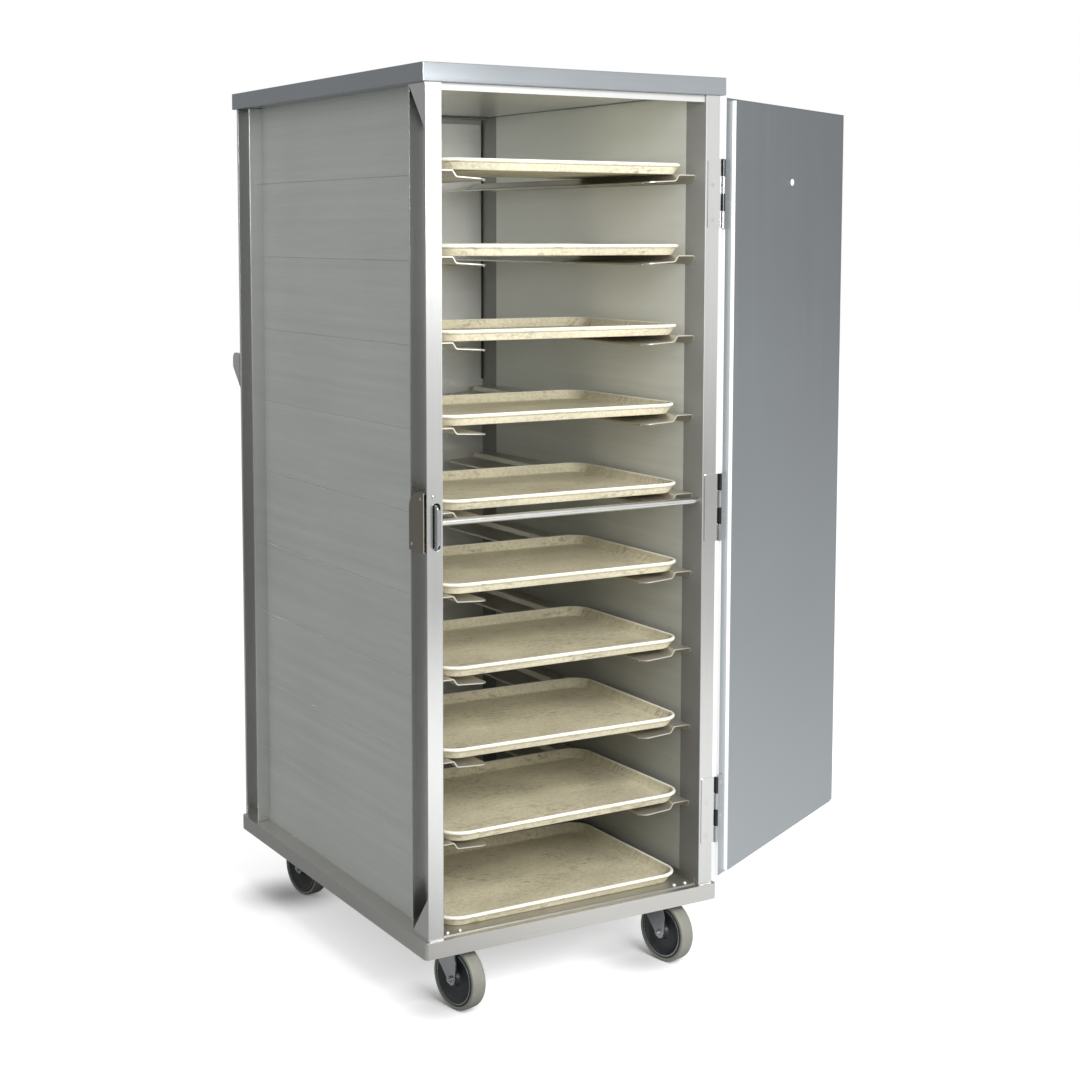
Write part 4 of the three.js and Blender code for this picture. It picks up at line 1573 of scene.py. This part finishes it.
@dataclass(frozen=True)
class Latch:
    """The latch case in the left post's channel and its hooked bolt, with their screws."""

    soft: float = 0.0009
    bolt_soft: float = 0.0007
    case_screw: float = 0.0036
    case_screw_rise: float = 0.0016
    case_margin: float = 0.012
    case_far: float = 0.048
    post_screw: float = 0.0042
    post_screw_rise: float = 0.0018
    post_screw_x: float = -0.317
    post_screw_down: float = 0.007

    def build(self, bench: Bench, plan: Plan) -> None:
        """Makes the case, the bolt, two screws in the case's side and one in the post.

        Args:
            bench: where the pieces are made.
            plan: the cart's plan.
        """
        bench.softened("latch_case", "latch_case", "latch_steel", self.soft)
        bench.softened("latch_bolt", "steel", "latch_steel", self.bolt_soft)
        low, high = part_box("latch_case")
        in_case = set_in(screw_head(self.case_screw, self.case_screw_rise), (-1, 0, 0), [
            (low.x, low.y + self.case_margin, high.z - self.case_margin),
            (low.x, low.y + self.case_far, low.z + self.case_margin)])
        in_post = set_in(screw_head(self.post_screw, self.post_screw_rise), (0, -1, 0), [
            (plan.centre.x + self.post_screw_x, plan.centre.y + plan.post_front,
             high.z - self.post_screw_down)])
        bench.piece("latch_screws", gathered([in_case, in_post]), "screw", "cabinet", "latch_steel")


@dataclass(frozen=True)
class Casters:
    """Four swivel casters: bolted plates, forks with their ball race, and moulded wheels."""

    soft: float = 0.0008
    radius: float = 0.0635
    tread: float = 0.016
    hub: float = 0.019
    bore: float = 0.0043
    ring: float = 0.0508
    ring_half: float = 0.0007
    bolt: float = 0.011
    bolt_rise: float = 0.0055
    bolt_x: float = 0.040
    bolt_y: float = 0.036
    plate_sheet: float = 0.003

    def build(self, bench: Bench, joints: dict[str, Any]) -> None:
        """Makes all four casters.

        Args:
            bench: where the pieces are made.
            joints: the frame's joints by name.
        """
        for end in ("front", "rear"):
            for side in ("left", "right"):
                self._caster(bench, joints, f"caster_{end}_{side}")

    def _caster(self, bench: Bench, joints: dict[str, Any], name: str) -> None:
        """Makes one caster's pieces; its wheel is turned about its spin joint's axis.

        Args:
            bench: where the pieces are made.
            joints: the frame's joints by name.
            name: the caster's name.
        """
        spin = joints[f"{name}_spin"]
        swivel = Vector(joints[f"{name}_swivel"]["pos_m"])
        place = facing(spin["axis"], spin["pos_m"])
        wheel = f"{name}_roller"
        bench.softened(f"{name}_plate", "zinc", "plated_steel", self.soft)
        bench.softened(f"{name}_fork", "zinc", "plated_steel", self.soft)
        bench.piece(f"{name}_tread", self._tread().moved(place), "tread", wheel, "caster_rubber",
                    f"{name}_wheel")
        bench.piece(f"{name}_core", self._core().moved(place), "hub", wheel, "caster_rubber")
        bench.piece(f"{name}_rings", self._rings().moved(place), "zinc", wheel, "plated_steel")
        bench.piece(f"{name}_bolts", self._bolts(name, swivel), "screw", "cabinet", "plated_steel")

    def _tread(self) -> Skin:
        """The tyre: a crowned running face with a round shoulder on each side, turned once.

        Returns:
            The skin, about +Z.
        """
        outer, half = self.radius, self.tread
        side = [(outer - 0.0080, half - 0.0012), (outer - 0.0072, half - 0.0002),
                (outer - 0.0060, half), (outer - 0.0032, half),
                (outer - 0.0016, half - 0.0008), (outer - 0.0006, half - 0.0028),
                (outer - 0.0001, half - 0.0070), (outer, 0.0)]
        return revolved(both_sides(side), 96, closed=True)

    def _core(self) -> Skin:
        """The wheel's hub, dished web and rim in one moulding, bored for the axle and turned once.

        Returns:
            The skin, about +Z.
        """
        half, hub = self.tread, self.hub
        side = [(self.bore, hub), (0.0125, hub), (0.0138, hub - 0.0010), (0.0150, 0.0125),
                (0.0175, 0.0100), (0.0300, 0.0088), (0.0400, 0.0096), (0.0440, 0.0120),
                (0.0462, half - 0.0016), (0.0475, half - 0.0004), (0.0500, half - 0.0004),
                (0.0508, half - 0.0014), (0.0516, half - 0.0004), (0.0556, half - 0.0004),
                (0.0566, half - 0.0018)]
        return revolved(both_sides(side), 96, closed=True)

    def _rings(self) -> Skin:
        """The thin bright ring let into each side of the wheel's rim: a rectangle, turned once.

        Returns:
            The skin of both rings, about +Z.
        """
        near, far = self.ring - self.ring_half, self.ring + self.ring_half
        section = np.array([(near, -0.001), (far, -0.001), (far, 0.0004), (near, 0.0004)])
        ring = revolved(section + (0, self.tread), 72, closed=True)
        return gathered([ring, ring.moved(Matrix.Rotation(math.pi, 4, "X"))])

    def _bolts(self, name: str, swivel: Vector) -> Skin:
        """Four bolts under the plate's corners.

        Args:
            name: the caster's name.
            swivel: the point on the floor plan that the plate is centred on.

        Returns:
            The skin of the bolts' heads.
        """
        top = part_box(f"{name}_plate")[1].z - self.plate_sheet
        return set_in(bolt_head(self.bolt, self.bolt_rise), (0, 0, -1), [
            (swivel.x + x, swivel.y + y, top)
            for x in (-self.bolt_x, self.bolt_x) for y in (-self.bolt_y, self.bolt_y)])


# --------------------------------------------------------------------------------------------
# Studio and camera
# --------------------------------------------------------------------------------------------


@dataclass(frozen=True)
class Softbox:
    """A square area lamp."""

    name: str
    spot: Point
    size: float
    watts: float

    def hang(self, target: Vector) -> None:
        """Puts the lamp at its spot.

        Args:
            target: the point that it faces.
        """
        data = bpy.data.lights.new(self.name, "AREA")
        data.shape = "SQUARE"
        data.size = self.size
        data.energy = self.watts
        lamp = bpy.data.objects.new(self.name, data)
        lamp.location = self.spot
        lamp.rotation_euler = (target - Vector(self.spot)).to_track_quat("-Z", "Y").to_euler()
        bpy.context.scene.collection.objects.link(lamp)


@dataclass(frozen=True)
class Glow:
    """A patch of the surroundings, brighter or darker than the rest, round a direction."""

    towards: Point
    reach: float
    light: float


@dataclass(frozen=True)
class Studio:
    """A pale floor and surroundings with one soft lamp.

    Mirror rays see the even surround with brighter and darker patches. Camera rays see white and
    a paler floor with a painted shadow beside each wheel, while other rays see a floor that is
    darker on the left than on the right.
    """

    aim: float = 0.9
    surround: float = 0.4
    fill: float = 0.7
    patches: tuple[Glow, ...] = (
        Glow((0.57, -0.82, 0.1), 75.0, 0.45),
        Glow((1.0, 0.1, 0.15), 50.0, -0.18),
        Glow((-0.57, 0.82, 0.0), 65.0, -0.05),
    )
    floor: float = 0.85
    floor_left: float = 0.33
    floor_right: float = 0.68
    floor_turn: tuple[float, float] = (-0.7, 0.1)
    glow: float = 0.5
    spread: float = 30.0
    # A painted shadow darkens the floor's glow round a spot beside each wheel, out to this reach.
    shade_spot: Point = (-0.045, 0.02, 0.0)
    shade_reach: float = 0.16
    key: Softbox = Softbox("key light", (-0.25, -3.2, 2.2), 1.5, 125.0)

    def build(self, centre: Vector, feet: Sequence[Vector]) -> None:
        """Makes the surroundings, the lamp and the floor.

        Args:
            centre: the cart's centre line on the floor; the lamp faces a point above it.
            feet: the wheels' centres.
        """
        self._surround()
        self.key.hang(centre + Vector((0.0, 0.0, self.aim)))
        self._floor(feet)

    def _surround(self) -> None:
        """Camera rays see white, diffuse rays an even light, and mirror rays the patches.

        A patch adds its light at its own direction and fades to nothing at its reach.
        """
        world = bpy.data.worlds.new("white studio")
        bpy.context.scene.world = world
        sky = Graph(world)
        towards = sky.node("ShaderNodeTexCoord", {}, output="Generated")
        mirrored: Wire | float = self.surround
        for patch in self.patches:
            axis = Vector(patch.towards).normalized()
            edge = math.cos(math.radians(patch.reach))
            mirrored = sky.dot(towards, axis).ramp(edge, 1.0, 0.0, patch.light) + mirrored
        is_camera = sky.node("ShaderNodeLightPath", {}, output="Is Camera Ray")
        is_diffuse = sky.node("ShaderNodeLightPath", {}, output="Is Diffuse Ray")
        strength = mirrored + is_diffuse * (self.fill - mirrored)
        strength = strength + is_camera * (1.0 - strength)
        sky.end("ShaderNodeOutputWorld", sky.node(
            "ShaderNodeBackground", {}, {"Color": (1.0, 1.0, 1.0, 1.0), "Strength": strength}))

    def _floor(self, feet: Sequence[Vector]) -> None:
        """Lays the floor: a pale sheet with a glow of its own, which fades into a painted shadow
        beside each wheel.

        Args:
            feet: the wheels' centres.
        """
        half = self.spread / 2
        mesh = bpy.data.meshes.new("floor")
        corners = [(-half, -half, 0), (half, -half, 0), (half, half, 0), (-half, half, 0)]
        mesh.from_pydata(corners, [], [(0, 1, 2, 3)])
        sheet = Sheet("studio floor")
        # Each wheel's painted shadow: the glow fades towards a spot beside it.
        shade: Wire | float = 1.0
        for foot in feet:
            spot = foot + Vector(self.shade_spot)
            away = sheet.place((1.0, 1.0, 0.0), (-spot.x, -spot.y, 0.0))
            distance = sheet.node("ShaderNodeVectorMath", {"operation": "LENGTH"}, [away],
                                  output="Value")
            shade = distance.ramp(0.0, self.shade_reach) * shade
        is_camera = sheet.node("ShaderNodeLightPath", {}, output="Is Camera Ray")
        bounce = sheet.coordinate("X").ramp(*self.floor_turn, self.floor_left, self.floor_right)
        tone = sheet.scaled((1.0, 1.0, 1.0, 1.0), is_camera * (self.floor - bounce) + bounce)
        mesh.materials.append(sheet.surface(
            {"Base Color": tone, "Roughness": 1.0, "Specular IOR Level": 0.0,
             "Emission Color": sheet.scaled((1.0, 1.0, 1.0, 1.0), shade * is_camera),
             "Emission Strength": self.glow}))
        floor = bpy.data.objects.new("floor", mesh)
        bpy.context.scene.collection.objects.link(floor)


@dataclass(frozen=True)
class Viewpoint:
    """The photographer's camera, from the fit of the cabinet's edges."""

    spot: Point = (-1.9063, -3.5416, 1.5089)
    yaw: float = 30.59
    pitch: float = 5.669
    roll: float = -0.117
    lens: float = 62.33
    sensor: float = 36.0
    rise: float = -0.11
    far: float = 100.0

    def place(self, centre: Vector) -> None:
        """Sets up the camera.

        Args:
            centre: the cart's centre line on the floor, which the camera's spot is measured from.
        """
        data = bpy.data.cameras.new("camera")
        data.lens = self.lens
        data.sensor_width = self.sensor
        data.shift_y = self.rise
        data.clip_end = self.far
        camera = bpy.data.objects.new("camera", data)
        yaw, pitch = math.radians(self.yaw), math.radians(self.pitch)
        level = math.cos(pitch)
        forward = Vector((math.sin(yaw) * level, math.cos(yaw) * level, -math.sin(pitch)))
        turn = forward.to_track_quat("-Z", "Y").to_matrix().to_4x4()
        turn = Matrix.Rotation(math.radians(self.roll), 4, forward) @ turn
        camera.matrix_world = Matrix.Translation(Vector(self.spot) + centre) @ turn
        bpy.context.scene.collection.objects.link(camera)
        bpy.context.scene.camera = camera


def main() -> None:
    """Loads the frame, dresses it and sets up the studio."""
    logging.basicConfig(level=logging.INFO, format="%(name)s %(levelname)s %(message)s")
    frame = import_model()
    plan = Plan.read()
    bench = Bench(frame["nodes"], Finishes().built())
    Shell().build(bench, plan)
    Ledges().build(bench)
    Trays().build(bench)
    Bars().build(bench)
    joints = {joint["name"]: joint for joint in frame["joints"]}
    Door().build(bench, Swing.read(joints))
    Latch().build(bench, plan)
    Casters().build(bench, joints)
    feet = [Vector(joint["pos_m"]) for name, joint in joints.items() if name.endswith("_spin")]
    Studio().build(plan.centre, feet)
    Viewpoint().place(plan.centre)
    bpy.context.scene.view_settings.view_transform = "Standard"
    log.info("%d new pieces", bench.made)


if __name__ == "__main__":
    main()
